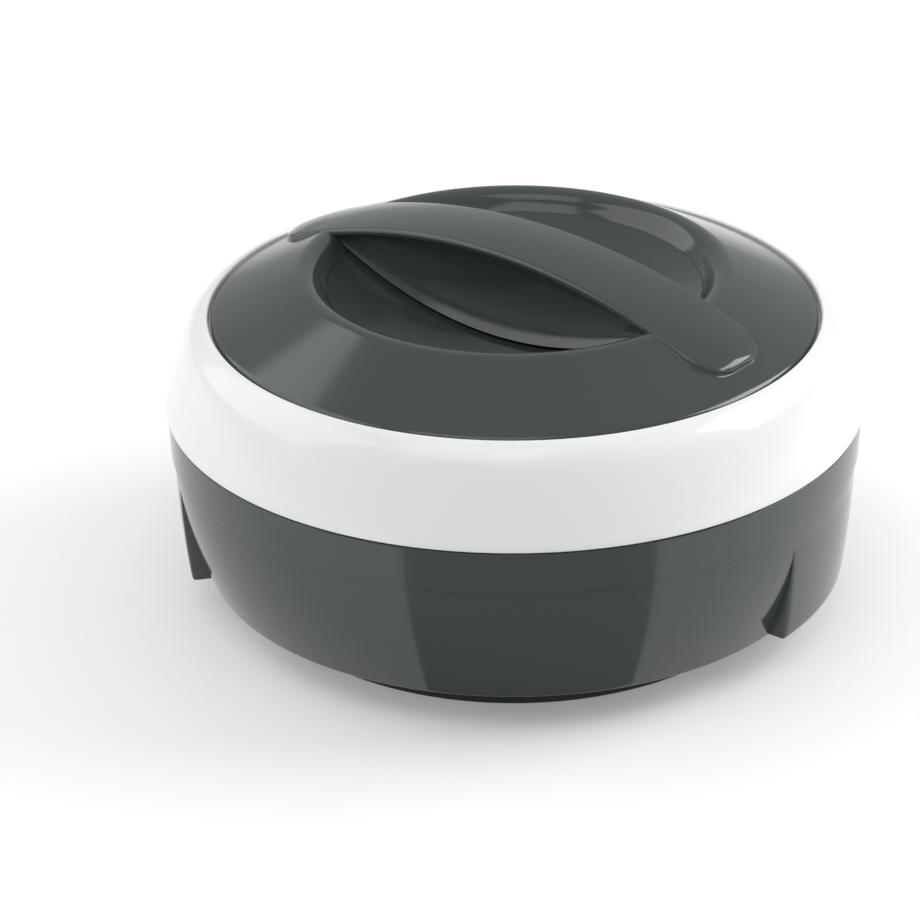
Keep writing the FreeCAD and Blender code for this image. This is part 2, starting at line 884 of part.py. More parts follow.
def cover_disc():
    """Disc shell: rim, sloped face, crest and the wall of the scoop."""
    slope = math.radians(disc_slope)
    down = disc_wall / math.cos(slope)
    wall_low = scoop_edge_height - scoop_step
    inner_crest = crest_radius + disc_wall
    return turned([
        (disc_radius, ledge_top),
        (disc_radius, rim_height, disc_rim_round),
        (crest_radius, crest_height, crest_round),
        (scoop_radius, scoop_edge_height),
        (scoop_radius, wall_low),
        (scoop_radius + disc_wall, wall_low),
        (inner_crest, disc_height(inner_crest) - down, crest_round - disc_wall),
        (disc_radius - disc_wall, rim_height - 0.5 * disc_wall),
        (disc_radius - disc_wall, ledge_top),
    ])


def lid_top_cover():
    cover = cover_disc()
    place = cover_boss_place
    boss = post(cover_boss_radius, ledge_top, disc_height(place), place).common(under_disc(0.5 * disc_wall))
    for copy in around(boss, cover_screw_count, 30):
        cover = cover.fuse(copy)
    cover = cover.fuse([strap(), webs()] + end_pads())
    hole = post(screw_radius + screw_fit, ledge_top - cut_spare, disc_height(place) - disc_wall - cover_hole_end, place)
    for copy in around(hole, cover_screw_count, 30):
        cover = cover.cut(copy)
    for sign in (1, -1):
        along = sign * handle_screw_offset
        cover = cover.cut(post(screw_radius + screw_fit, 0, scoop_floor_height + handle_hole_top, along))
    return cover.removeSplitter()


def scoop_bowl():
    """Insert that closes the lid below the strap, with a step that fits the cover's opening."""
    edge = scoop_radius - scoop_fit
    ball_radius = scoop_radius_of_arc()
    under_radius = ball_radius + scoop_wall
    middle = edge / 2
    top_middle = scoop_floor_height + ball_radius - math.sqrt(ball_radius ** 2 - middle ** 2)
    under = edge - bowl_rim_land
    under_height = scoop_floor_height + ball_radius - math.sqrt(under_radius ** 2 - under ** 2)
    under_middle = scoop_floor_height + ball_radius - math.sqrt(under_radius ** 2 - middle ** 2)
    step_height = scoop_edge_height - scoop_step - seat_gap
    flange_low = step_height - scoop_wall
    bowl = turned([
        (0, scoop_floor_height),
        ("arc", middle, top_middle),
        (edge, scoop_edge_height),
        (edge, step_height),
        (edge + scoop_flange, step_height),
        (edge + scoop_flange, flange_low),
        (under + bowl_rim_slant, flange_low),
        (under, under_height),
        ("arc", middle, under_middle),
        (0, scoop_floor_height - scoop_wall),
    ])
    for sign in (1, -1):
        along = sign * handle_screw_offset
        bowl = bowl.cut(post(screw_radius + seat_gap, 0, scoop_edge_height, along))
    return bowl


def handle_screws():
    place = handle_screw_offset
    ball_radius = scoop_radius_of_arc() + scoop_wall
    seat = scoop_floor_height - scoop_wall + ball_radius - math.sqrt(ball_radius ** 2 - place ** 2)
    one = screw(seat - handle_screw_sink, scoop_floor_height + handle_hole_top - screw_hole_spare, place)
    return Part.makeCompound(around(one, 2))


def ring_screws():
    place = cover_boss_place
    tip = disc_height(place) - disc_wall - cover_hole_end - screw_hole_spare
    return Part.makeCompound(around(screw(ledge_top - ledge, tip, place), cover_screw_count, 30))


def dish_outline(lift):
    flat = dish_edge - dish_flat
    low = plate_bottom - dish_steel
    ball_radius = (flat ** 2 + dish_rise ** 2) / (2 * dish_rise)
    middle = flat / 2
    rise = math.sqrt(ball_radius ** 2 - middle ** 2) - ball_radius + dish_rise
    return flat, low + lift, middle, rise


def lid_inner_dish():
    flat, low, middle, rise = dish_outline(0)
    high = low + dish_steel
    return turned([
        (0, low + dish_rise),
        ("arc", middle, low + rise),
        (flat, low),
        (dish_edge, low),
        (dish_edge, high),
        (flat, high),
        ("arc", middle, high + rise),
        (0, high + dish_rise),
    ])


def lid_foam():
    """Foam between the dish and the covers."""
    flat, low, middle, rise = dish_outline(dish_steel + slip)
    plate_edge = plate_inner - slip
    above_plate = plate_top + slip
    _, shoulder, _ = ring_profile(wall)
    ledge_low = ledge_top - ledge - slip
    ledge_edge = ledge_inner - slip
    down = disc_wall / math.cos(math.radians(disc_slope)) + slip
    crest_side = crest_radius + 2 * disc_wall
    flange_radius = scoop_radius - scoop_fit + scoop_flange + slip
    flange_low = scoop_edge_height - scoop_step - seat_gap - scoop_wall - slip
    ball_radius = scoop_radius_of_arc()
    under_radius = ball_radius + scoop_wall + slip
    under = scoop_radius - scoop_fit - bowl_rim_land - 2 * slip
    under_height = scoop_floor_height + ball_radius - math.sqrt(under_radius ** 2 - under ** 2)
    half = under / 2
    half_height = scoop_floor_height + ball_radius - math.sqrt(under_radius ** 2 - half ** 2)
    core = turned([
        (0, low + dish_rise),
        ("arc", middle, low + rise),
        (flat, low),
        (plate_edge, low),
        (plate_edge, above_plate),
        (shoulder[0] - foam_clear, above_plate),
        (shoulder[0] - foam_clear, shoulder[1] - foam_corner / 2),
        (shoulder[0] - foam_corner, ledge_low),
        (ledge_edge, ledge_low),
        (ledge_edge, disc_height(ledge_edge) - down),
        (crest_side, disc_height(crest_side) - down),
        (flange_radius, scoop_edge_height),
        (flange_radius, flange_low),
        (under + bowl_rim_slant, flange_low),
        (under, under_height),
        ("arc", half, half_height),
        (0, scoop_floor_height - scoop_wall - slip),
    ])
    head_room = screw_head + 2 * handle_screw_sink
    for copy in around(post(screw_head_radius + slip, scoop_floor_height - scoop_wall - head_room,
                            scoop_edge_height, handle_screw_offset), 2):
        core = core.cut(copy)
    place = cover_boss_place
    head = post(screw_head_radius + slip, ledge_top - ledge - screw_head - slip, ledge_top, place)
    for copy in around(head, cover_screw_count, 30):
        core = core.cut(copy)
    return core


# What each STEP file holds. The lid's parts are turned to the place the photograph shows.
body_parts = {
    "outer_shell": outer_shell,
    "base_cover": base_cover,
    "foot_ring": foot_ring,
    "foam_fill_plug": foam_fill_plug,
    "base_screws": base_screws,
    "rim_collar": rim_collar,
    "steel_liner": steel_liner,
    "body_foam": body_foam,
}
lid_parts = {
    "lid_seal": lid_seal,
    "lid_collar": lid_collar,
    "lid_ring": lid_ring,
    "lid_top_cover": lid_top_cover,
    "scoop_bowl": scoop_bowl,
    "handle_screws": handle_screws,
    "ring_screws": ring_screws,
    "lid_inner_dish": lid_inner_dish,
    "lid_foam": lid_foam,
}

os.makedirs("parts", exist_ok=True)
for name, make in body_parts.items():
    make().exportStep("parts/" + name + ".step")
for name, make in lid_parts.items():
    piece = make()
    piece.rotate(FreeCAD.Vector(0, 0, 0), FreeCAD.Vector(0, 0, 1), handle_angle)
    piece.exportStep("parts/" + name + ".step")
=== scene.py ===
import json
import math

import bpy
from mathutils import Matrix, Vector

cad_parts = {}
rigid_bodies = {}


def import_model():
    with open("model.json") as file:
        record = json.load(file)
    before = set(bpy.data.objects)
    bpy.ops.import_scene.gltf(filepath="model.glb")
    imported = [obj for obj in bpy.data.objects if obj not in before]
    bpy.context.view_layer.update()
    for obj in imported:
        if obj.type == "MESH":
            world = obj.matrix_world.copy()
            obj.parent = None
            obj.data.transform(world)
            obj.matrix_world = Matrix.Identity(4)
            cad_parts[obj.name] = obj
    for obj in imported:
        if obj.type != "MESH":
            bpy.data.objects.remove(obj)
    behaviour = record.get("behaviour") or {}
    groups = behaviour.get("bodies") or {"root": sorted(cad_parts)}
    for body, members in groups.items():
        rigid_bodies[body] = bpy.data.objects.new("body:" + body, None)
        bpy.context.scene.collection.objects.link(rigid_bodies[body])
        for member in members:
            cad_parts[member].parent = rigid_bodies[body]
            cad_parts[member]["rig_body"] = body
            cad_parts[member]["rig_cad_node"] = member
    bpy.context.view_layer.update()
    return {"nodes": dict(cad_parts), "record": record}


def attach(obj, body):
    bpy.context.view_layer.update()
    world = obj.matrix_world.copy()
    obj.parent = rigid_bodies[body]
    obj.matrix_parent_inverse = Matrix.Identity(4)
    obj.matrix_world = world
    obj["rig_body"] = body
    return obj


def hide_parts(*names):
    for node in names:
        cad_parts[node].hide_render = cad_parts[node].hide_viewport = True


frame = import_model()

bl_info = {
    "name": "Insulated Casserole",
    "version": (1, 0, 0),
    "blender": (4, 5, 0),
    "location": "3D View > Sidebar > Casserole",
    "description": "Finished pieces of an insulated casserole, placed around its loaded frame",
    "category": "Add Mesh",
}

MM = 0.001
FULL_TURN = 2 * math.pi
ROUND_STEPS = 240  # steps of a full turn
ARC_STEP = math.radians(9.0)  # largest turn of one step of an arc
ARC_CHORD = 2.5 * MM  # largest length of one step of an arc
SUPPORT = 0.5 * MM  # from a corner to its supporting point
MERGE = 0.002 * MM  # points nearer than this become one
NEAR = 0.01 * MM  # places nearer than this count as one

# How far these edges lie inside the seam radius
BAND_TOP_INSET = 0.7 * MM
BAND_BOTTOM_INSET = 1.4 * MM
BOWL_INSET = 2.2 * MM
RECESS_INSET = 20.0 * MM
OPENING_INSET = 31.0 * MM

# The camera, fitted to the object's outlines
VIEW_TURN = math.radians(12.5)
VIEW_RISE = math.radians(25.6)
VIEW_ROLL = math.radians(-0.26)
VIEW_DISTANCE = 1.5
VIEW_HEIGHT = 0.0625
SENSOR_WIDTH = 36.0
PICTURE_PIXELS = 920.0
FOCAL_PIXELS = 4163.6
SHIFT_PIXELS = (-55.0, -31.0)

LAMP_HEIGHT = 0.06
# Name, azimuth, elevation, distance, width, height and radiance of each lamp
SOFTBOXES = (
    ("softbox_left", -98.0, 32.0, 1.3, 1.5, 1.2, 1.15),
    ("softbox_right", 100.0, 32.0, 1.3, 0.8, 0.8, 4.9),
    ("softbox_front", -20.0, 62.0, 1.6, 1.0, 1.0, 1.0),
)
# Distance towards the camera, left end and right end of the near and far edges of the dark card that
# paints a dark reflection
CARD_EDGES = ((0.105, -0.032, 0.046), (0.70, -0.465, 0.640))


def length(name, description, millimetres):
    return bpy.props.FloatProperty(
        name=name, description=description, default=millimetres * MM, unit="LENGTH",
    )


def angle(name, description, degrees):
    return bpy.props.FloatProperty(
        name=name, description=description, default=math.radians(degrees), subtype="ANGLE",
    )


def colour(name, description, default):
    return bpy.props.FloatVectorProperty(
        name=name, description=description, default=default, subtype="COLOR",
        size=3, min=0.0, max=1.0,
    )


class CasseroleSizes(bpy.types.PropertyGroup):
    """Sizes of the finished pieces. Each default is the size in the frame."""

    seam_radius: length("Seam radius", "Outer radius of the white ring at its lower edge", 125.0)
    wall: length("Wall", "Wall of the moulded pieces", 2.6)
    body_top: length("Body top", "Height of the bowl's rim", 75.7)
    band_bottom: length("Band bottom", "Height of the step line below the band", 60.5)
    step_bottom: length("Step bottom", "Height where the step meets the bowl", 58.7)
    underside: length("Underside", "Height of the bowl's underside", 14.0)
    bowl_bottom_radius: length("Bowl bottom radius", "Radius of the bowl at its underside", 111.0)
    bowl_bulge: length("Bowl bulge", "How far the bowl's side stands off a straight line", 2.2)
    grip_half_angle: angle("Grip half angle", "Half of the angle that a side grip spans", 25.5)
    grip_top: length("Grip top", "Height where a side grip leaves the bowl", 52.5)
    grip_bottom: length("Grip bottom", "Height of a side grip's lower edge", 15.6)
    grip_radius: length("Grip radius", "Outer radius of a side grip at its lower edge", 118.9)
    grip_edge: length("Grip edge", "Rounding of a side grip's ends", 1.6)
    ring_bottom: length("Ring bottom", "Height of the white ring's lower edge", 76.2)
    rim_height: length("Rim height", "Height of the grey disc's rim", 110.0)
    rim_skirt: length("Rim skirt", "How far the disc's rim reaches down", 3.8)
    disc_radius: length("Disc radius", "Outer radius of the grey disc", 107.8)
    disc_slope: angle("Disc slope", "Slope of the grey disc", 27.2)
    disc_wall: length("Disc wall", "Wall of the grey top cover", 2.4)
    crest_radius: length("Crest radius", "Radius of the crest round the scoop", 72.3)
    crest_round: length("Crest rounding", "Rounding of the crest", 6.0)
    scoop_radius: length("Scoop radius", "Radius of the parting line in the scoop", 66.8)
    scoop_edge: length("Scoop edge height", "Height of the parting line in the scoop", 119.54)
    scoop_floor: length("Scoop floor", "Height of the scoop's floor", 102.55)
    handle_turn: angle("Handle turn", "Where the handle stands at rest, from the line of the grips", -26.0)
    strap_top: length("Strap top", "Height of the strap's edges at its middle", 137.94)
    strap_crown: length("Strap crown", "How far its middle line stands above its edges", 1.2)
    strap_half_length: length("Strap half length", "Half of the strap's length, seen from above", 99.8)
    strap_tip_height: length("Strap tip height", "Height of the strap's top at its tips", 116.71)
    strap_half_width: length("Strap half width", "Half of the strap's width at its middle", 15.3)
    strap_end_half_width: length("Strap end half width", "Half of its width near its ends", 17.0)
    strap_corner: length("Strap corner", "Corner radius of the strap's ends, seen from above", 13.0)
    strap_edge: length("Strap edge", "Thickness of the strap at its edges", 2.4)
    strap_round: length("Strap rounding", "Rounding of the strap's upper edges", 1.5)
    liner_radius: length("Liner radius", "Radius of the steel liner at its rim", 102.7)
    liner_floor: length("Liner floor", "Height of the steel liner's floor", 19.3)
    liner_top: length("Liner top", "Height of the face that the liner's rim rests on", 88.0)
    dish_low: length("Dish height", "Height of the lid dish's lower face", 93.3)
    foot_radius: length("Foot radius", "Outer radius of the foot", 92.4)


class CasseroleColours(bpy.types.PropertyGroup):
    """Colours of the finishes."""

    grey: colour("Grey", "Moulded grey plastic of the bowl and lid", (0.042, 0.050, 0.052))
    white: colour("White", "Moulded white plastic of the ring", (0.85, 0.85, 0.85))
    black: colour("Black", "Black plastic of the base", (0.012, 0.013, 0.013))
    steel: colour("Steel", "Spun stainless steel", (0.62, 0.62, 0.61))
    zinc: colour("Zinc", "Plated screws", (0.55, 0.55, 0.54))
    seal: colour("Seal", "Soft silicone of the seal", (0.55, 0.56, 0.56))
    foot: colour("Foot", "Black rubber of the foot ring", (0.02, 0.02, 0.02))
    foam: colour("Foam", "Rigid insulating foam", (0.86, 0.80, 0.62))


def sizes():
    return bpy.context.scene.casserole_sizes


def colours():
    return bpy.context.scene.casserole_colours


# Shapes

def select_only(piece):
    bpy.ops.object.select_all(action="DESELECT")
    piece.select_set(True)
    bpy.context.view_layer.objects.active = piece


def start_point(name, place):
    """New mesh of one point, left in edit mode with the point selected."""
    bpy.ops.object.select_all(action="DESELECT")
    bpy.ops.mesh.primitive_plane_add(size=MM)
    piece = bpy.context.object
    piece.name = name
    bpy.ops.object.mode_set(mode="EDIT")
    bpy.ops.mesh.select_mode(type="VERT")
    bpy.ops.mesh.select_all(action="SELECT")
    bpy.ops.mesh.merge(type="CENTER")
    bpy.ops.transform.translate(value=place)
    return piece


def extrude_points(step):
    bpy.ops.mesh.extrude_vertices_move(TRANSFORM_OT_translate={"value": step})


def draw_line(here, there, supported=True):
    """Straight stretch from the selected point, with a supporting point near each end."""
    run = there - here
    stops = (1.0,)
    if supported and run.length > 4 * SUPPORT:
        stops = (SUPPORT / run.length, 1 - SUPPORT / run.length, 1.0)
    done = 0.0
    for stop in stops:
        step = run * (stop - done)
        extrude_points((step.x, 0, step.y))
        done = stop


def draw_arc(here, middle, there):
    """Arc from the selected point through a middle point."""
    centre = circle_centre(here, middle, there)
    first, last = here - centre, there - centre
    turn = first.angle_signed(last)
    if (middle - centre).dot(first + last) < 0:
        turn -= math.copysign(2 * math.pi, turn)
    run = abs(turn) * first.length
    steps = max(3, math.ceil(abs(turn) / ARC_STEP), math.ceil(run / ARC_CHORD))
    bpy.ops.mesh.spin(steps=steps, angle=-turn, center=(centre.x, 0, centre.y), axis=(0, 1, 0))


def circle_centre(first, second, third):
    """Centre of the circle through three points."""
    ax, ay = second - first
    bx, by = third - first
    cross = 2 * (ax * by - ay * bx)
    a2, b2 = ax * ax + ay * ay, bx * bx + by * by
    return first + Vector(((by * a2 - ay * b2) / cross, (ax * b2 - bx * a2) / cross))


def rounded(before, corner, after, radius):
    """Start, middle and end of the arc that rounds a corner."""
    to_before = (before - corner).normalized()
    to_after = (after - corner).normalized()
    half = to_before.angle(to_after) / 2
    reach = radius / math.tan(half)
    centre = corner + (to_before + to_after).normalized() * (radius / math.sin(half))
    middle = centre + (corner - centre).normalized() * radius
    return corner + to_before * reach, middle, corner + to_after * reach


def draw_outline(name, corners, supported=True):
    """Line through (r, z) or (r, z, rounding) corners, left in edit mode.

    ("arc", r, z) is the middle of an arc from the corner before it to the corner after it.
    """
    here = Vector(corners[0][:2])
    piece = start_point(name, (here.x, 0, here.y))
    index = 1
    while index < len(corners):
        corner = corners[index]
        if corner[0] == "arc":
            there = Vector(corners[index + 1][:2])
            draw_arc(here, Vector(corner[1:]), there)
            here = there
            index += 2
            continue
        there = Vector(corner[:2])
        if len(corner) == 3:
            after = corners[index + 1]
            start, middle, end = rounded(here, there, Vector(after[:2]), corner[2])
            draw_line(here, start, supported)
            draw_arc(start, middle, end)
            here = end
        else:
            draw_line(here, there, supported)
            here = there
        index += 1
    return piece


def draw_section(name, points):
    """Line through (y, z) points in the YZ plane, left selected in edit mode."""
    here = Vector(points[0])
    piece = start_point(name, (0, here.x, here.y))
    for point in points[1:]:
        step = Vector(point) - here
        extrude_points((0, step.x, step.y))
        here = Vector(point)
    bpy.ops.mesh.select_all(action="SELECT")
    return piece


def merge_close():
    """Merges points that share a place, on the piece in edit mode."""
    bpy.ops.mesh.select_all(action="SELECT")
    bpy.ops.mesh.remove_doubles(threshold=MERGE)


def tidy_surface():
    """Merges the active piece's points and turns its faces outwards. Leaves object mode on."""
    bpy.ops.object.mode_set(mode="EDIT")
    merge_close()
    bpy.ops.mesh.normals_make_consistent(inside=False)
    bpy.ops.object.mode_set(mode="OBJECT")


def turned(name, corners, sweep=FULL_TURN, start=0.0, supported=True):
    """Closed outline spun about the Z axis.

    The first corner is also the last, unless both ends lie on the axis.
    """
    if corners[0][0] > 0:
        corners = corners + [corners[0][:2]]
    piece = draw_outline(name, corners, supported)
    merge_close()
    full = sweep == FULL_TURN
    if start:
        bpy.ops.transform.rotate(value=-start, orient_axis="Z", center_override=(0, 0, 0))
    if not full:
        bpy.ops.mesh.edge_face_add()
    steps = max(1, round(ROUND_STEPS * sweep / FULL_TURN))
    bpy.ops.mesh.spin(
        steps=steps, angle=-sweep, use_auto_merge=full, center=(0, 0, 0), axis=(0, 0, 1))
    tidy_surface()
    return piece


def cylinder(name, radius, height):
    """Cylinder that stands on the origin."""
    return turned(name, [(0, 0), (radius, 0), (radius, height), (0, height)])


def bulged(start, end, bulge):
    """Middle of an arc that stands off its chord, to the chord's right."""
    (r1, z1), (r2, z2) = start, end
    run = math.hypot(r2 - r1, z2 - z1)
    return "arc", (r1 + r2) / 2 + (z2 - z1) / run * bulge, (z1 + z2) / 2 - (r2 - r1) / run * bulge


def apply_modifier(piece, kind, **settings):
    select_only(piece)
    bpy.ops.object.modifier_add(type=kind)
    modifier = piece.modifiers[-1]
    for name, value in settings.items():
        setattr(modifier, name, value)
    bpy.ops.object.modifier_apply(modifier=modifier.name)


def cut(piece, *tools):
    """Cuts the tools out of a piece, one after another. The tools are removed."""
    for tool in tools:
        apply_modifier(piece, "BOOLEAN", object=tool, operation="DIFFERENCE", solver="EXACT")
        bpy.data.objects.remove(tool)


def mirror_quarter(piece):
    """Completes a piece from its quarter on the positive sides of X and Y."""
    apply_modifier(
        piece, "MIRROR", use_axis=(True, True, False), use_clip=True, merge_threshold=NEAR)
    tidy_surface()


def plain_copy(piece):
    select_only(piece)
    bpy.ops.object.duplicate()
    return bpy.context.object


def half_turn_copy(piece):
    copy = plain_copy(piece)
    turn_mesh(copy, math.pi)
    return copy


def turn_mesh(piece, turn):
    """Turns a piece's mesh about the Z axis."""
    select_only(piece)
    piece.rotation_euler = (0, 0, turn)
    bpy.ops.object.transform_apply(location=False, rotation=True, scale=False)


def move_mesh(piece, place):
    select_only(piece)
    piece.location = place
    bpy.ops.object.transform_apply(location=True, rotation=False, scale=False)


def select_where(piece, test, faces=False):
    """Selects the points, or faces, that pass a test. The piece is in edit mode."""
    bpy.ops.mesh.select_all(action="DESELECT")
    bpy.ops.object.mode_set(mode="OBJECT")
    found = 0
    for row in piece.data.polygons if faces else piece.data.vertices:
        row.select = test(row)
        found += row.select
    if not found:
        raise RuntimeError("nothing to select on " + piece.name)
    bpy.ops.object.mode_set(mode="EDIT")
    bpy.ops.mesh.select_mode(type="FACE" if faces else "VERT")


def shade(piece, degrees=32):
    select_only(piece)
    bpy.ops.object.shade_smooth_by_angle(angle=math.radians(degrees))


def dress(piece, node):
    """Gives a piece the finish and body of the node that it stands for."""
    piece.data.materials.clear()
    piece.data.materials.append(material_for(slot_of(node)))
    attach(piece, body_of(node))
    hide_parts(node)


def finish_piece(piece, node):
    shade(piece)
    dress(piece, node)


def slot_of(node):
    for row in frame["record"]["subparts"]:
        if row["node"] == node:
            return row["material_slot"]
    raise RuntimeError("the record has no material slot for " + node)


def body_of(node):
    for body, nodes in frame["record"]["behaviour"]["bodies"].items():
        if node in nodes:
            return body
    raise RuntimeError("no body holds " + node)


# Materials

def arithmetic(operation, swapped=False):
    """Arithmetic method of a socket, that adds a Math node."""
    def method(self, other):
        values = (other, self) if swapped else (self, other)
        return self.maths(operation, *values)

    return method


class Socket:
    """An output socket, to be used in sums as if it were a number."""

    __add__ = arithmetic("ADD")
    __radd__ = arithmetic("ADD", swapped=True)
    __sub__ = arithmetic("SUBTRACT")
    __mul__ = arithmetic("MULTIPLY")
    __rmul__ = arithmetic("MULTIPLY", swapped=True)

    def __init__(self, surface, socket):
        self.surface = surface
        self.socket = socket

    def maths(self, operation, *values):
        return self.surface.node("ShaderNodeMath", {"operation": operation}, dict(enumerate(values)))


class Nodes:
    """A node tree, filled in node by node."""

    def __init__(self, tree):
        self.tree = tree

    def node(self, kind, settings=None, inputs=None, output=0):
        made = self.tree.nodes.new(kind)
        for name, value in (settings or {}).items():
            setattr(made, name, value)
        for name, value in (inputs or {}).items():
            if isinstance(value, Socket):
                self.tree.links.new(value.socket, made.inputs[name])
            else:
                made.inputs[name].default_value = value
        return Socket(self, made.outputs[output])

    def blend(self, share, first, second):
        """Colour between two colours."""
        factor, colour_a, colour_b, colour_result = 0, 6, 7, 2
        inputs = {factor: share, colour_a: (*first, 1.0), colour_b: (*second, 1.0)}
        return self.node("ShaderNodeMix", {"data_type": "RGBA"}, inputs, colour_result)

    def seen(self):
        """1 for what is seen, also by reflection or through glass, and 0 for light on a surface."""
        total = 0.0
        for name in ("Is Camera Ray", "Is Glossy Ray", "Is Transmission Ray"):
            total = self.node("ShaderNodeLightPath", output=name) + total
        return total.maths("MINIMUM", total, 1.0)


class Surface(Nodes):
    """A material with one Principled shader."""

    def __init__(self, name, base, roughness, ior=1.5, metallic=0.0):
        self.material = bpy.data.materials.new(name)
        self.material.use_nodes = True
        super().__init__(self.material.node_tree)
        self.base = tuple(base)
        self.shader = self.tree.nodes["Principled BSDF"]
        values = {
            "Base Color": (*base, 1.0), "Roughness": roughness, "IOR": ior, "Metallic": metallic,
        }
        for input_name, value in values.items():
            self.shader.inputs[input_name].default_value = value

    def place(self):
        return self.node("ShaderNodeTexCoord", output="Object")

    def noise(self, scale, detail=2.0, place=None):
        inputs = {"Vector": place or self.place(), "Scale": scale, "Detail": detail}
        return self.node("ShaderNodeTexNoise", inputs=inputs)

    def turned_place(self):
        """Radius and height, so that a pattern runs round the Z axis."""
        parts = self.node("ShaderNodeSeparateXYZ", inputs={0: self.place()})
        outputs = parts.socket.node.outputs
        x, y, z = (Socket(self, outputs[name]) for name in ("X", "Y", "Z"))
        square = x * x + y * y
        radius = square.maths("SQRT", square)
        return self.node("ShaderNodeCombineXYZ", inputs={"X": radius, "Z": z})

    def bump(self, height, distance):
        inputs = {"Height": height, "Distance": distance}
        self.feed("Normal", self.node("ShaderNodeBump", inputs=inputs))

    def vary(self, amount, share):
        """Base colour a little lighter and darker over the surface."""
        darker = [part * (1 - amount) for part in self.base]
        lighter = [min(1.0, part * (1 + amount)) for part in self.base]
        self.feed("Base Color", self.blend(share, darker, lighter))

    def feed(self, name, socket):
        self.tree.links.new(socket.socket, self.shader.inputs[name])


def moulded(name, base, gloss, spread, peel):
    """Moulded plastic: cloudy gloss and a faint unevenness of the surface."""
    surface = Surface(name, base, gloss, ior=1.6)
    surface.vary(0.03, surface.noise(scale=9.0, detail=4.0))
    cloud = surface.noise(scale=22.0, detail=3.0)
    surface.feed("Roughness", gloss + spread * (cloud - 0.5))
    surface.bump(surface.noise(scale=340.0), peel)
    return surface.material


def grained(name, base, roughness, grain, depth):
    """Fine matt grain."""
    surface = Surface(name, base, roughness)
    surface.vary(0.10, surface.noise(scale=30.0, detail=3.0))
    cloud = surface.noise(scale=60.0, detail=3.0)
    surface.feed("Roughness", roughness + 0.15 * (cloud - 0.5))
    surface.bump(surface.noise(scale=grain), depth)
    return surface.material


def spun(name, base, depth):
    """Spun steel, with fine lines that run round."""
    surface = Surface(name, base, 0.24, metallic=1.0)
    lines = surface.noise(scale=900.0, detail=4.0, place=surface.turned_place())
    surface.vary(0.06, lines)
    surface.feed("Roughness", 0.16 + 0.18 * lines)
    surface.bump(lines, depth)
    return surface.material


def plated(name, base):
    """Cloudy zinc plating."""
    surface = Surface(name, base, 0.32, metallic=1.0)
    surface.vary(0.10, surface.noise(scale=400.0, detail=3.0))
    surface.feed("Roughness", 0.24 + 0.18 * surface.noise(scale=700.0, detail=3.0))
    return surface.material


# Material name, maker, colour and the maker's own values for each slot
FINISHES = {
    "grey_plastic": (
        "grey_plastic", moulded, "grey", {"gloss": 0.13, "spread": 0.10, "peel": 0.004 * MM}),
    "white_plastic": (
        "white_plastic", moulded, "white", {"gloss": 0.17, "spread": 0.10, "peel": 0.004 * MM}),
    "collar_plastic": (
        "satin_plastic", moulded, "grey", {"gloss": 0.34, "spread": 0.12, "peel": 0.01 * MM}),
    "black_plastic": (
        "black_plastic", grained, "black", {"roughness": 0.48, "grain": 2200.0, "depth": 0.06 * MM}),
    "foot_rubber": (
        "foot_rubber", grained, "foot", {"roughness": 0.7, "grain": 1500.0, "depth": 0.05 * MM}),
    "seal_rubber": (
        "seal_rubber", grained, "seal", {"roughness": 0.5, "grain": 1200.0, "depth": 0.02 * MM}),
    "foam": ("foam", grained, "foam", {"roughness": 0.9, "grain": 900.0, "depth": 0.3 * MM}),
    "steel_satin": ("spun_steel", spun, "steel", {"depth": 0.002 * MM}),
    "screw_steel": ("zinc", plated, "zinc", {}),
}
made_materials = {}


def material_for(slot):
    if slot not in made_materials:
        name, maker, colour_name, values = FINISHES[slot]
        made_materials[slot] = maker(name, getattr(colours(), colour_name), **values)
    return made_materials[slot]


# Pieces

def bowl_ends(inset=0):
    """Top and bottom of the bowl's side as (r, z), moved inwards by a wall."""
    s = sizes()
    top = (s.seam_radius - BOWL_INSET - inset, s.step_bottom)
    bottom = (s.bowl_bottom_radius - inset, s.underside)
    return top, bottom


def bowl_radius(height, inset=0):
    """Radius of the bowl's bulged side at a height."""
    top, bottom = bowl_ends(inset)
    middle = bulged(bottom, top, sizes().bowl_bulge)[1:]
    centre = circle_centre(Vector(top), Vector(middle), Vector(bottom))
    radius = (Vector(top) - centre).length
    return centre.x + math.sqrt(radius ** 2 - (height - centre.y) ** 2)


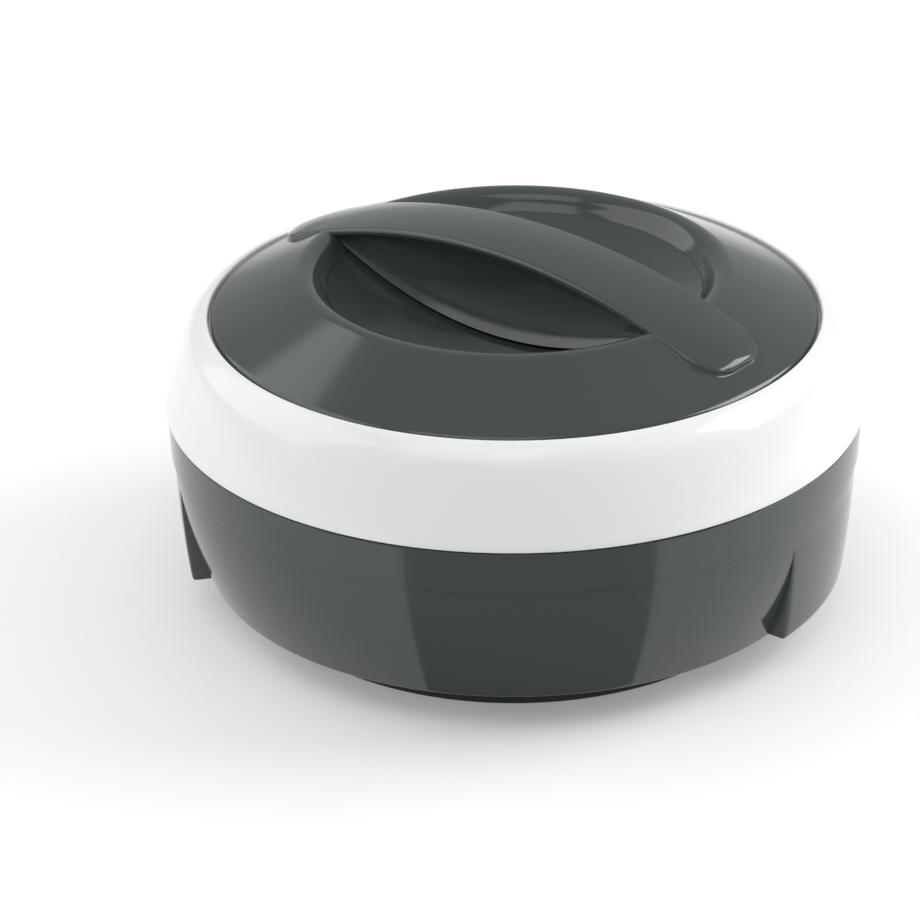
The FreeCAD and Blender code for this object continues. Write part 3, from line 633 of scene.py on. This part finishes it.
class CASSEROLE_OT_outer_shell(bpy.types.Operator):
    """Grey bowl with its band, step line and two side grips"""

    bl_idname = "casserole.outer_shell"
    bl_label = "Outer Shell"

    def execute(self, context):
        s = sizes()
        form = self.round_form()
        self.raise_grips(form)
        self.round_grip_edges(form)
        cut(form, self.cavity())
        recess = self.recess(0)
        cut(form, recess, half_turn_copy(recess))
        opening = cylinder("opening", s.seam_radius - OPENING_INSET, s.underside + 2 * s.wall)
        cut(form, opening)
        finish_piece(form, "outer_shell")
        return {"FINISHED"}

    def grip_rows(self):
        """Heights of the rows of points on a grip, from its lower edge to its top."""
        s = sizes()
        rows = 14
        tall = s.grip_top - s.grip_bottom
        return [s.grip_bottom + tall * index / rows for index in range(rows + 1)]

    def round_form(self):
        """Solid bowl and band without grips, with a row of points at each row of a grip."""
        s = sizes()
        top = bowl_ends()[0]
        above_grips = s.grip_top + (s.step_bottom - s.grip_top) / 2
        low_round, step_round, rim_round = 1.8 * MM, 0.35 * MM, 0.4 * MM
        ledge_lean, ledge_drop = 0.05 * MM, 0.5 * MM
        return turned("outer_shell_finished", [
            (0, s.underside),
            (s.bowl_bottom_radius, s.underside, low_round),
            *((bowl_radius(height), height) for height in self.grip_rows() + [above_grips]),
            top,
            (top[0] + ledge_lean, s.band_bottom - ledge_drop),
            (s.seam_radius - BAND_BOTTOM_INSET, s.band_bottom, step_round),
            (s.seam_radius - BAND_TOP_INSET, s.body_top, rim_round),
            (0, s.body_top),
        ], supported=False)

    def raise_grips(self, piece):
        """Raises both grips from the side, and shapes them row by row."""
        s = sizes()
        rows = self.grip_rows()
        half = s.grip_half_angle + 1e-4
        inside = 100 * MM  # the bowl's side lies wholly outside this radius
        bulge = 2 * MM

        def on_grip(face):
            x, y, z = face.center
            near_axis = abs(math.atan2(y, abs(x))) < half
            return near_axis and rows[0] < z < rows[-1] and math.hypot(x, y) > inside

        bpy.ops.object.mode_set(mode="EDIT")
        select_where(piece, on_grip, faces=True)
        bpy.ops.mesh.extrude_region_move()
        bpy.ops.mesh.select_mode(type="VERT")
        bpy.ops.object.mode_set(mode="OBJECT")
        lifted = {vertex.index for vertex in piece.data.vertices if vertex.select}
        top_radius = bowl_radius(s.grip_top)
        bpy.ops.object.mode_set(mode="EDIT")
        for height in rows[:-1]:
            share = (height - rows[0]) / (s.grip_top - rows[0])
            straight = s.grip_radius + (top_radius - s.grip_radius) * share
            scale = (straight + bulge * share * (1 - share)) / bowl_radius(height)
            select_where(piece, lambda vertex: (
                vertex.index in lifted and abs(vertex.co.z - height) < NEAR))
            bpy.ops.transform.resize(value=(scale, scale, 1), center_override=(0, 0, 0))
        tidy_surface()

    def round_grip_edges(self, piece):
        """Rounds the ends and the lower edge of the grips, less where a grip meets the bowl."""
        s = sizes()
        mesh = piece.data
        weights = mesh.attributes.new("bevel_weight_edge", "FLOAT", "EDGE")
        least_rise, least_lift, lower_lift = 0.5 * MM, 0.2 * MM, 5 * MM
        full_lift = 2.2 * s.grip_edge
        lower_weight = 0.4
        same_turn = 1e-3
        for edge in mesh.edges:
            first, second = (mesh.vertices[index].co for index in edge.vertices)
            middle = (first + second) / 2
            rise = abs(first.z - second.z)
            turn = abs(math.atan2(middle.y, abs(middle.x)))
            height = min(max(middle.z, s.underside), s.step_bottom)
            lift = math.hypot(middle.x, middle.y) - bowl_radius(height)
            upright = rise > least_rise and abs(turn - s.grip_half_angle) < same_turn
            lower = rise < NEAR and abs(middle.z - s.grip_bottom) < NEAR
            if upright and lift > least_lift:
                weights.data[edge.index].value = min(1.0, lift / full_lift)
            elif lower and lift > lower_lift and turn < s.grip_half_angle - same_turn:
                weights.data[edge.index].value = lower_weight
        apply_modifier(
            piece, "BEVEL", width=s.grip_edge, segments=4, limit_method="WEIGHT",
            use_clamp_overlap=False)

    def cavity(self):
        """What is cut out above the floor, so that the wall follows the recesses too."""
        s = sizes()
        low, middle, high = s.underside + s.wall, 38 * MM, s.body_top + MM
        cavity = turned("cavity", [
            (0, low),
            (bowl_radius(low, s.wall), low),
            ("arc", bowl_radius(middle, s.wall), middle),
            bowl_ends(s.wall)[0],
            (s.seam_radius - BAND_BOTTOM_INSET - s.wall, s.band_bottom),
            (s.seam_radius - BAND_TOP_INSET - s.wall, high),
            (0, high),
        ])
        pocket = self.recess(s.wall)
        cut(cavity, pocket, half_turn_copy(pocket))
        return cavity

    def recess(self, grow):
        """Finger space behind a grip, open downwards. Grown by a wall it shapes the cavity."""
        s = sizes()
        inner = s.seam_radius - RECESS_INSET - grow
        outer_low = s.grip_radius - s.wall + grow
        outer_high = bowl_ends(s.wall - grow)[0][0] + 0.2 * MM
        high = 42.0 * MM + grow
        lean = 4.5 * MM
        half = s.grip_half_angle - (s.wall - grow) / s.seam_radius
        corner = 3.0 * MM + grow
        return turned("recess", [
            (inner, 0),
            (outer_low, 0),
            (outer_low, s.grip_bottom),
            (outer_high, high, corner),
            (inner + lean, high, corner),
            (inner, s.underside),
        ], 2 * half, -half)


class CASSEROLE_OT_lid_ring(bpy.types.Operator):
    """White ring round the lid"""

    bl_idname = "casserole.lid_ring"
    bl_label = "Lid Ring"

    def execute(self, context):
        s = sizes()
        thick = 2.4 * MM
        skirt_in, skirt_up = 0.12 * MM, 1.8 * MM
        shoulder_in, shoulder_down = 7.0 * MM, 8.6 * MM
        lip_in, lip_up, lip_round = 15.0 * MM, 0.6 * MM, 0.5 * MM
        inner_down = 1.8 * MM
        chamfer = 0.8 * MM
        foot = (s.seam_radius, s.ring_bottom)
        skirt = (foot[0] - skirt_in, foot[1] + skirt_up)
        shoulder = (s.seam_radius - shoulder_in, s.rim_height - shoulder_down)
        lip = (s.seam_radius - lip_in, s.rim_height + lip_up)
        inner_foot = foot[0] - s.wall
        inner_shoulder = (shoulder[0] - s.wall, shoulder[1] - inner_down)
        ledge_top = s.rim_height - s.rim_skirt
        ledge_inner = s.disc_radius - 13.8 * MM
        ring = turned("lid_ring_finished", [
            (inner_foot + chamfer, foot[1]),
            (*foot, 1.0 * MM),
            skirt,
            bulged(skirt, shoulder, 0.4 * MM),
            shoulder,
            bulged(shoulder, lip, 1.2 * MM),
            lip,
            (lip[0] - lip_round, lip[1] + 0.05 * MM),
            (lip[0] - 2 * lip_round, lip[1] - 0.4 * MM),
            (lip[0] - 2 * lip_round, ledge_top),
            (ledge_inner, ledge_top),
            (ledge_inner, ledge_top - thick),
            (inner_shoulder[0] - thick, ledge_top - thick),
            inner_shoulder,
            (inner_foot, foot[1] + chamfer),
        ])
        finish_piece(ring, "lid_ring")
        return {"FINISHED"}


def disc_height(radius):
    """Height of the disc's cone at a radius."""
    s = sizes()
    return s.rim_height + (s.disc_radius - radius) * math.tan(s.disc_slope)


class CASSEROLE_OT_top_cover(bpy.types.Operator):
    """Grey domed disc with its crest, arched strap and curved webs"""

    bl_idname = "casserole.top_cover"
    bl_label = "Top Cover"

    def execute(self, context):
        s = sizes()
        disc = self.disc()
        fillet = self.fillet()
        handle = [self.strap(), self.webs(), fillet, half_turn_copy(fillet)]
        for piece in handle:
            turn_mesh(piece, s.handle_turn)
            shade(piece, 40)
        shade(disc)
        for piece in handle:
            piece.select_set(True)
        bpy.ops.object.join()
        dress(disc, "lid_top_cover")
        return {"FINISHED"}

    def disc(self):
        s = sizes()
        ledge_top = s.rim_height - s.rim_skirt
        crest = Vector((s.crest_radius, disc_height(s.crest_radius)))
        scoop = Vector((s.scoop_radius, s.scoop_edge))
        wall_low = s.scoop_edge - 2.3 * MM
        inner_crest = s.crest_radius + s.disc_wall
        inner_height = disc_height(inner_crest) - s.disc_wall / math.cos(s.disc_slope)
        steep, roll, hollow = math.radians(62.0), 6.2 * MM, 0.2 * MM
        roll_end = crest - roll * Vector((math.cos(steep), math.sin(steep)))
        chord = (roll_end - scoop).normalized()
        middle = (roll_end + scoop) / 2 + hollow * Vector((chord.y, -chord.x))
        return turned("lid_top_cover_finished", [
            (s.disc_radius - s.disc_wall, ledge_top),
            (s.disc_radius, ledge_top),
            (s.disc_radius, s.rim_height, 2.4 * MM),
            (*crest, s.crest_round),
            tuple(roll_end),
            ("arc", *middle),
            (s.scoop_radius, s.scoop_edge),
            (s.scoop_radius, wall_low),
            (s.scoop_radius + s.disc_wall, wall_low),
            (inner_crest, inner_height, s.crest_round - s.disc_wall),
            (s.disc_radius - s.disc_wall, s.rim_height - 0.5 * s.disc_wall),
        ])

    def arch_radius(self):
        """Radius of the strap's arch through the tops of its middle and tips."""
        s = sizes()
        drop = s.strap_top - s.strap_tip_height
        return (s.strap_half_length ** 2 + drop ** 2) / (2 * drop)

    def straight_end(self):
        """Where the rounding of the strap's ends begins, from its middle."""
        s = sizes()
        return s.strap_half_length - s.strap_corner

    def strap_half(self, along):
        """Half of the strap's width at a distance from its middle."""
        s = sizes()
        past = along - self.straight_end()
        if past <= 0:
            flare = s.strap_end_half_width - s.strap_half_width
            return s.strap_half_width + flare * (along / self.straight_end()) ** 2
        lean = math.asin(min(1.0, past / s.strap_corner))
        return s.strap_end_half_width - s.strap_corner * (1 - math.cos(lean))

    def strap_drop(self, along):
        """How far the strap's top falls below its arch where the tip is rounded."""
        s = sizes()
        dome_run, dome = 14.0 * MM, 0.7 * MM
        left = s.strap_half_length - along
        drop = dome * max(0.0, 1 - left / dome_run) ** 2
        tip_round = 1.4 * s.strap_round
        if left < tip_round:
            drop += 0.8 * tip_round * (1 - math.sqrt(1 - (1 - left / tip_round) ** 2))
        return drop

    def strap_sink(self, along):
        """How far the strap's underside goes down into the disc towards the tip."""
        s = sizes()
        start, run, sink = s.crest_radius + 2.0 * MM, 9.0 * MM, 1.3 * MM
        share = min(1.0, max(0.0, (along - start) / run))
        return sink * share * share * (3 - 2 * share)

    def strap_section(self):
        """Half of the strap's section as a line in the YZ plane, left selected in edit mode."""
        s = sizes()
        crown = s.strap_top + s.strap_crown
        low = s.strap_top - s.strap_edge
        flat = s.strap_half_width - s.strap_round
        fall = s.strap_crown / s.strap_half_width ** 2
        low_round, low_bow = 0.4 * MM, 0.12 * MM
        points = []
        for index in range(11):
            across = flat * index / 10
            points.append((across, crown - fall * across ** 2))
        edge = points[-1][1] - s.strap_round
        for degrees in range(15, 91, 15):
            lean = math.radians(degrees)
            points.append((
                flat + s.strap_round * math.sin(lean), edge + s.strap_round * math.cos(lean)))
        points += [
            (s.strap_half_width, low + low_round),
            (s.strap_half_width - low_bow, low + low_bow),
            (s.strap_half_width - low_round, low),
            (s.strap_half_width / 2, low),
            (0, low),
        ]
        return draw_section("strap", points)

    def strap(self):
        """One quarter of the strap, lofted from its middle to its tip, then mirrored."""
        s = sizes()
        arch = self.arch_radius()
        centre = (0, 0, s.strap_top - arch)
        straight_end = self.straight_end()
        rows = 34
        stops = [straight_end * index / rows for index in range(1, rows + 1)]
        for degrees in range(6, 91, 6):
            stops.append(straight_end + s.strap_corner * math.sin(math.radians(degrees)))
        piece = self.strap_section()
        crown = s.strap_top + s.strap_crown
        low = s.strap_top - s.strap_edge
        turn, half, top, bottom = 0.0, s.strap_half_width, crown, low
        for along in stops:
            new_turn = math.asin(along / arch)
            new_half = self.strap_half(along)
            new_top = crown - self.strap_drop(along)
            new_bottom = low - self.strap_sink(along)
            bpy.ops.mesh.extrude_region_move()
            bpy.ops.transform.rotate(value=turn, orient_axis="Y", center_override=centre)
            scale = (1, new_half / half, (new_top - new_bottom) / (top - bottom))
            bpy.ops.transform.resize(value=scale, center_override=(0, 0, top))
            bpy.ops.transform.translate(value=(0, 0, new_top - top))
            bpy.ops.transform.rotate(value=-new_turn, orient_axis="Y", center_override=centre)
            turn, half, top, bottom = new_turn, new_half, new_top, new_bottom
        bpy.ops.mesh.edge_face_add()
        bpy.ops.object.mode_set(mode="OBJECT")
        mirror_quarter(piece)
        return piece

    def fillet_stations(self):
        """Points round one end of the strap, with their direction outwards, from above."""
        s = sizes()
        straight_end = self.straight_end()
        start = s.crest_radius + 5.0 * MM
        straight_rows, round_rows = 9, 12
        stations = []
        for index in range(straight_rows):
            along = start + (straight_end - start) * index / straight_rows
            stations.append((along, self.strap_half(along), math.pi / 2))
        for index in range(round_rows + 1):
            lean = math.radians(90 - 90 / round_rows * index)
            along = straight_end + s.strap_corner * math.cos(lean)
            across = s.strap_end_half_width - s.strap_corner * (1 - math.sin(lean))
            stations.append((along, across, lean))
        return stations + [(along, -across, -lean) for along, across, lean in reversed(stations)]

    def fillet_section(self, along, across, lean):
        """Closed section of the fillet: a hollow arc outside, and a back inside the strap."""
        s = sizes()
        arch = self.arch_radius()
        turn = math.asin(along / arch)
        up = Vector((math.sin(turn), 0, math.cos(turn)))
        edge = Vector((arch * up.x, across, s.strap_top - arch + arch * up.z))
        edge -= up * self.strap_drop(along)
        # down the strap's side to the disc, closer with each round
        tall, spot = 0.0, edge
        for _ in range(4):
            tall += (spot.z - disc_height(math.hypot(spot.x, spot.y))) / up.z
            spot = edge - up * tall
        level = Vector((math.cos(lean), math.sin(lean)))
        outward_share = level.dot(Vector((spot.x, spot.y)).normalized())
        out = Vector((level.x, level.y, -math.tan(s.disc_slope) * outward_share)).normalized()
        least, back = 0.15 * MM, 0.8 * MM
        radius = max(least, 0.5 * tall)
        centre = spot + (up + out) * radius
        points = []
        for degrees in range(0, 91, 18):
            swing = math.radians(degrees)
            points.append(centre - (out * math.cos(swing) + up * math.sin(swing)) * radius)
        points += [points[-1] - up * back, spot - (up + out) * back, points[0] - out * back]
        return points

    def fillet(self):
        """Fillet between one end of the strap and the disc."""
        rows = [self.fillet_section(*station) for station in self.fillet_stations()]
        around = len(rows[0])
        bpy.ops.object.select_all(action="DESELECT")
        bpy.ops.mesh.primitive_grid_add(
            x_subdivisions=around, y_subdivisions=len(rows) - 1, size=MM)
        piece = bpy.context.object
        piece.name = "fillet"
        for index, vertex in enumerate(piece.data.vertices):
            row, column = divmod(index, around + 1)
            vertex.co = rows[row][column % around]
        bpy.ops.object.mode_set(mode="EDIT")
        merge_close()
        bpy.ops.mesh.select_all(action="DESELECT")
        bpy.ops.mesh.select_non_manifold()
        bpy.ops.mesh.edge_face_add()
        tidy_surface()
        return piece

    def webs(self):
        """One quarter of the webs as a sheet, given its wall and mirrored."""
        s = sizes()
        arch = self.arch_radius()
        end = s.crest_radius
        overlap, floor_gap, end_gap = 0.3 * MM, 2.0 * MM, 0.6 * MM

        def top_at(along):
            under = math.sqrt((arch - s.strap_edge) ** 2 - along ** 2)
            return s.strap_top - arch + under + overlap

        low = s.scoop_floor + floor_gap
        rise = top_at(end) - low
        bottom_arch = (end ** 2 + rise ** 2) / (2 * rise)

        def bottom_at(along):
            return low + bottom_arch - math.sqrt(bottom_arch ** 2 - along ** 2)

        tall = top_at(0) - bottom_at(0)
        top_half, foot_half, waist, wall = 14.5 * MM, 13.0 * MM, 5.0 * MM, 2.2 * MM
        rows, columns = 14, 40
        points = []
        for index in range(rows + 1):
            share = index / rows
            across = top_half + (foot_half - top_half) * share - 4 * waist * share * (1 - share)
            points.append((across, top_at(0) - tall * share))
        piece = draw_section("webs", points)
        place, scale = 0.0, 1.0
        for index in range(1, columns + 1):
            new_place = (end - end_gap) * index / columns
            new_scale = (top_at(new_place) - bottom_at(new_place)) / tall
            step = (new_place - place, 0, top_at(new_place) - top_at(place))
            bpy.ops.mesh.extrude_region_move(TRANSFORM_OT_translate={"value": step})
            bpy.ops.transform.resize(
                value=(1, new_scale / scale, new_scale / scale),
                center_override=(new_place, top_half, top_at(new_place)))
            place, scale = new_place, new_scale
        tidy_surface()
        # the wall grows towards the strap's middle line, whichever way the sheet faces
        outward = sum(polygon.normal.y for polygon in piece.data.polygons) > 0
        side = -1.0 if outward else 1.0
        apply_modifier(piece, "SOLIDIFY", thickness=wall, offset=side, use_even_offset=True)
        mirror_quarter(piece)
        return piece


class CASSEROLE_OT_scoop_bowl(bpy.types.Operator):
    """Scoop below the handle, a separate insert"""

    bl_idname = "casserole.scoop_bowl"
    bl_label = "Scoop Bowl"

    def execute(self, context):
        s = sizes()
        edge = s.scoop_radius - 0.2 * MM
        depth = s.scoop_edge - s.scoop_floor
        ball = (edge ** 2 + depth ** 2) / (2 * depth)
        middle = edge / 2
        thick = 2.2 * MM
        flange = edge + 4.3 * MM
        flange_top = s.scoop_edge - 2.4 * MM
        under = edge - 2.0 * MM

        def face(radius, lower):
            return s.scoop_floor + ball - math.sqrt((ball + lower) ** 2 - radius ** 2)

        bowl = turned("scoop_bowl_finished", [
            (0, s.scoop_floor),
            ("arc", middle, face(middle, 0)),
            (edge, s.scoop_edge, 0.3 * MM),
            (edge, flange_top),
            (flange, flange_top),
            (flange, flange_top - thick),
            (under + 1.0 * MM, flange_top - thick),
            (under, face(under, thick)),
            ("arc", middle, face(middle, thick)),
            (0, s.scoop_floor - thick),
        ])
        finish_piece(bowl, "scoop_bowl")
        return {"FINISHED"}


class CASSEROLE_OT_base(bpy.types.Operator):
    """Black base cover with its foot, and the rubber ring in the foot"""

    bl_idname = "casserole.base"
    bl_label = "Base"

    def execute(self, context):
        s = sizes()
        foot_inner = s.foot_radius - 11.4 * MM
        ring_outer = s.foot_radius - 1.9 * MM
        ring_inner = ring_outer - 6.0 * MM
        foot_bottom, groove_top, foot_top = 1.0 * MM, 3.2 * MM, 5.6 * MM
        flange = s.seam_radius - 21.0 * MM
        flange_low = s.underside - 2.4 * MM
        collar = s.seam_radius - 31.1 * MM
        collar_top = s.underside + s.wall
        plate, plug = 2.4 * MM, 6.0 * MM
        recess, recess_top = 5.0 * MM, 7.4 * MM
        small, large, lean = 1.0 * MM, 1.4 * MM, 1.4 * MM
        cover = turned("base_cover_finished", [
            (plug, recess),
            (foot_inner - 2.0 * MM, recess, small),
            (foot_inner, foot_bottom, small),
            (ring_inner, foot_bottom),
            (ring_inner, groove_top),
            (ring_outer, groove_top),
            (ring_outer, foot_bottom),
            (s.foot_radius, foot_bottom, large),
            (s.foot_radius + 2.2 * MM, flange_low, 1.2 * MM),
            (flange, flange_low),
            (flange, s.underside),
            (collar, s.underside),
            (collar, collar_top),
            (collar - plate, collar_top),
            (s.foot_radius - plate, foot_top, small),
            (foot_inner + 0.4 * MM, foot_top, small),
            (foot_inner - lean, recess_top, small),
            (plug, recess_top),
        ])
        screw_circle = s.seam_radius - 25.5 * MM
        for degrees in (45, 135, 225, 315):
            hole = cylinder("screw_hole", 1.6 * MM, 20.0 * MM)
            turn = math.radians(degrees)
            move_mesh(hole, (screw_circle * math.cos(turn), screw_circle * math.sin(turn), 0))
            cut(cover, hole)
        finish_piece(cover, "base_cover")
        gap, ring_top, ring_round = 0.1 * MM, 3.1 * MM, 0.5 * MM
        ring = turned("foot_ring_finished", [
            (ring_inner + gap, ring_top),
            (ring_inner + gap, 0, ring_round),
            (ring_outer - gap, 0, ring_round),
            (ring_outer - gap, ring_top),
        ])
        finish_piece(ring, "foot_ring")
        return {"FINISHED"}


class CASSEROLE_OT_steel(bpy.types.Operator):
    """Steel liner of the bowl and steel dish of the lid"""

    bl_idname = "casserole.steel"
    bl_label = "Steel Pieces"

    def execute(self, context):
        s = sizes()
        steel = 0.7 * MM
        foot, corner = s.liner_radius - 9.0 * MM, 20.0 * MM
        bead, bead_half = s.seam_radius - 17.0 * MM, 1.1 * MM
        rim = s.liner_top + steel
        liner = turned("steel_liner_finished", [
            (0, s.liner_floor),
            (foot, s.liner_floor, corner),
            (s.liner_radius, s.liner_top),
            (bead, s.liner_top),
            ("arc", bead + bead_half, s.liner_top + bead_half),
            (bead, s.liner_top + 2 * bead_half),
            ("arc", bead - 0.8 * MM, s.liner_top + 1.85 * MM),
            (bead - 1.0 * MM, rim),
            (s.liner_radius - steel, rim, 1.0 * MM),
            (foot - steel, s.liner_floor + steel, corner - steel),
            (0, s.liner_floor + steel),
        ], supported=False)
        finish_piece(liner, "steel_liner")
        edge, flat, rise = 102.0 * MM, 92.2 * MM, 2.8 * MM
        half, half_rise = flat / 2, 0.75 * rise
        low, high = s.dish_low, s.dish_low + steel
        dish = turned("lid_inner_dish_finished", [
            (0, low + rise),
            ("arc", half, low + half_rise),
            (flat, low),
            (edge, low),
            (edge, high),
            (flat, high),
            ("arc", half, high + half_rise),
            (0, high + rise),
        ])
        finish_piece(dish, "lid_inner_dish")
        return {"FINISHED"}


def smooth_copy(node):
    """A merged copy of a node of the frame, shaded smooth, that stands for it."""
    piece = plain_copy(frame["nodes"][node])
    piece.name = node + "_finished"
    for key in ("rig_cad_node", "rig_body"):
        if key in piece:
            del piece[key]
    piece.parent = None
    bpy.ops.object.mode_set(mode="EDIT")
    merge_close()
    bpy.ops.object.mode_set(mode="OBJECT")
    finish_piece(piece, node)


class CASSEROLE_OT_copies(bpy.types.Operator):
    """Small and hidden pieces, copied from the frame and smoothed"""

    bl_idname = "casserole.copies"
    bl_label = "Smooth Copies"

    def execute(self, context):
        for node, source in frame["nodes"].items():
            if not source.hide_render:
                smooth_copy(node)
        return {"FINISHED"}


# Stage

def view_axes():
    """Right and away on the floor, as the camera sees them."""
    right = Vector((math.cos(VIEW_TURN), math.sin(VIEW_TURN), 0))
    return right, Vector((-right.y, right.x, 0))


def aimed(place, target, roll=0.0):
    """Placement that looks from a place to a target."""
    look = (target - place).to_track_quat("-Z", "Y")
    return Matrix.Translation(place) @ look.to_matrix().to_4x4() @ Matrix.Rotation(roll, 4, "Z")


def add_camera():
    aim = Vector((0, 0, VIEW_HEIGHT))
    back = Vector((
        math.sin(VIEW_TURN) * math.cos(VIEW_RISE),
        -math.cos(VIEW_TURN) * math.cos(VIEW_RISE),
        math.sin(VIEW_RISE),
    ))
    place = aim + back * VIEW_DISTANCE
    bpy.ops.object.camera_add(location=place)
    camera = bpy.context.object
    camera.matrix_world = aimed(place, aim, VIEW_ROLL)
    camera.data.sensor_width = SENSOR_WIDTH
    camera.data.lens = FOCAL_PIXELS * SENSOR_WIDTH / PICTURE_PIXELS
    camera.data.shift_x, camera.data.shift_y = (shift / PICTURE_PIXELS for shift in SHIFT_PIXELS)
    bpy.context.scene.camera = camera


def add_softbox(name, azimuth, elevation, distance, width, height, radiance):
    """Rectangle lamp. Azimuth 0 is at the camera, and it grows to the right."""
    right, away = view_axes()
    turn, rise = math.radians(azimuth), math.radians(elevation)
    level = right * math.sin(turn) - away * math.cos(turn)
    aim = Vector((0, 0, LAMP_HEIGHT))
    place = aim + level * math.cos(rise) * distance + Vector((0, 0, math.sin(rise) * distance))
    bpy.ops.object.light_add(type="AREA", location=place)
    lamp = bpy.context.object
    lamp.name = name
    lamp.matrix_world = aimed(place, aim)
    lamp.data.shape = "RECTANGLE"
    lamp.data.size = width
    lamp.data.size_y = height
    lamp.data.energy = radiance * math.pi * width * height


def floor_material(lift):
    """Pale floor that is lifted to white where it is seen, and keeps the shadows."""
    surface = Surface("pale_floor", (0.8, 0.8, 0.8), 0.7)
    lifted = surface.blend(surface.seen(), (0, 0, 0), (lift, lift, lift))
    surface.feed("Emission Color", lifted)
    surface.shader.inputs["Emission Strength"].default_value = 1.0
    return surface.material


def studio_world():
    """Soft pale room: one tone that lights the pieces, and a paler one where it is seen."""
    world = bpy.data.worlds.new("studio")
    bpy.context.scene.world = world
    world.use_nodes = True
    nodes = Nodes(world.node_tree)
    tone = nodes.blend(nodes.seen(), (0.60, 0.61, 0.62), (0.52, 0.53, 0.54))
    background = world.node_tree.nodes["Background"]
    world.node_tree.links.new(tone.socket, background.inputs["Color"])


class CASSEROLE_OT_stage(bpy.types.Operator):
    """Floor, lamps, world and camera"""

    bl_idname = "casserole.stage"
    bl_label = "Stage"

    def execute(self, context):
        bpy.ops.object.select_all(action="DESELECT")
        bpy.ops.mesh.primitive_plane_add(size=12.0, location=(0, 0, 0))
        floor = bpy.context.object
        floor.name = "floor"
        floor.data.materials.append(floor_material(0.22))
        # dark card seen only in reflections: a painted dark reflection on the front of the pieces
        self.dark_card()
        for softbox in SOFTBOXES:
            add_softbox(*softbox)
        studio_world()
        context.scene.view_settings.view_transform = "Standard"
        add_camera()
        return {"FINISHED"}

    def dark_card(self):
        """Dark card on the floor in front. It is unseen itself and casts no shadow, and only the glossy
        pieces mirror it: a painted dark reflection on the front of the bowl, band and ring.
        """
        half, height = 0.5, 0.5 * MM
        bpy.ops.mesh.primitive_plane_add(size=2 * half)
        card = bpy.context.object
        card.name = "front_card"
        right, away = view_axes()
        for side, (reach, left_end, right_end) in zip((half, -half), CARD_EDGES):
            bpy.ops.object.mode_set(mode="EDIT")
            select_where(card, lambda vertex: abs(vertex.co.y - side) < NEAR)
            middle = right * (left_end + right_end) / 2 - away * reach
            edge = (0, side, 0)
            bpy.ops.transform.resize(value=(right_end - left_end, 1, 1), center_override=edge)
            bpy.ops.transform.rotate(value=-VIEW_TURN, orient_axis="Z", center_override=edge)
            bpy.ops.transform.translate(value=(middle.x, middle.y - side, height))
            bpy.ops.object.mode_set(mode="OBJECT")
        card.data.materials.append(Surface("dark_card", (0.38, 0.38, 0.38), 0.8).material)
        card.visible_camera = False
        card.visible_diffuse = False
        card.visible_shadow = False


PIECES = ("outer_shell", "lid_ring", "top_cover", "scoop_bowl", "base", "steel", "copies", "stage")


class CASSEROLE_PT_pieces(bpy.types.Panel):
    """Sidebar list of the casserole's pieces, sizes and colours"""

    bl_idname = "CASSEROLE_PT_pieces"
    bl_label = "Casserole"
    bl_space_type = "VIEW_3D"
    bl_region_type = "UI"
    bl_category = "Casserole"

    def draw(self, context):
        column = self.layout.column()
        for piece in PIECES:
            column.operator("casserole." + piece)
        for group in (sizes(), colours()):
            box = self.layout.box()
            for name in group.__annotations__:
                box.prop(group, name)


CLASSES = (
    CasseroleSizes, CasseroleColours,
    CASSEROLE_OT_outer_shell, CASSEROLE_OT_lid_ring, CASSEROLE_OT_top_cover,
    CASSEROLE_OT_scoop_bowl, CASSEROLE_OT_base, CASSEROLE_OT_steel, CASSEROLE_OT_copies,
    CASSEROLE_OT_stage, CASSEROLE_PT_pieces,
)


def register():
    for item in CLASSES:
        bpy.utils.register_class(item)
    bpy.types.Scene.casserole_sizes = bpy.props.PointerProperty(type=CasseroleSizes)
    bpy.types.Scene.casserole_colours = bpy.props.PointerProperty(type=CasseroleColours)


def unregister():
    del bpy.types.Scene.casserole_colours
    del bpy.types.Scene.casserole_sizes
    for item in reversed(CLASSES):
        bpy.utils.unregister_class(item)


def main():
    register()
    for piece in PIECES:
        getattr(bpy.ops.casserole, piece)()


if __name__ == "__main__":
    main()
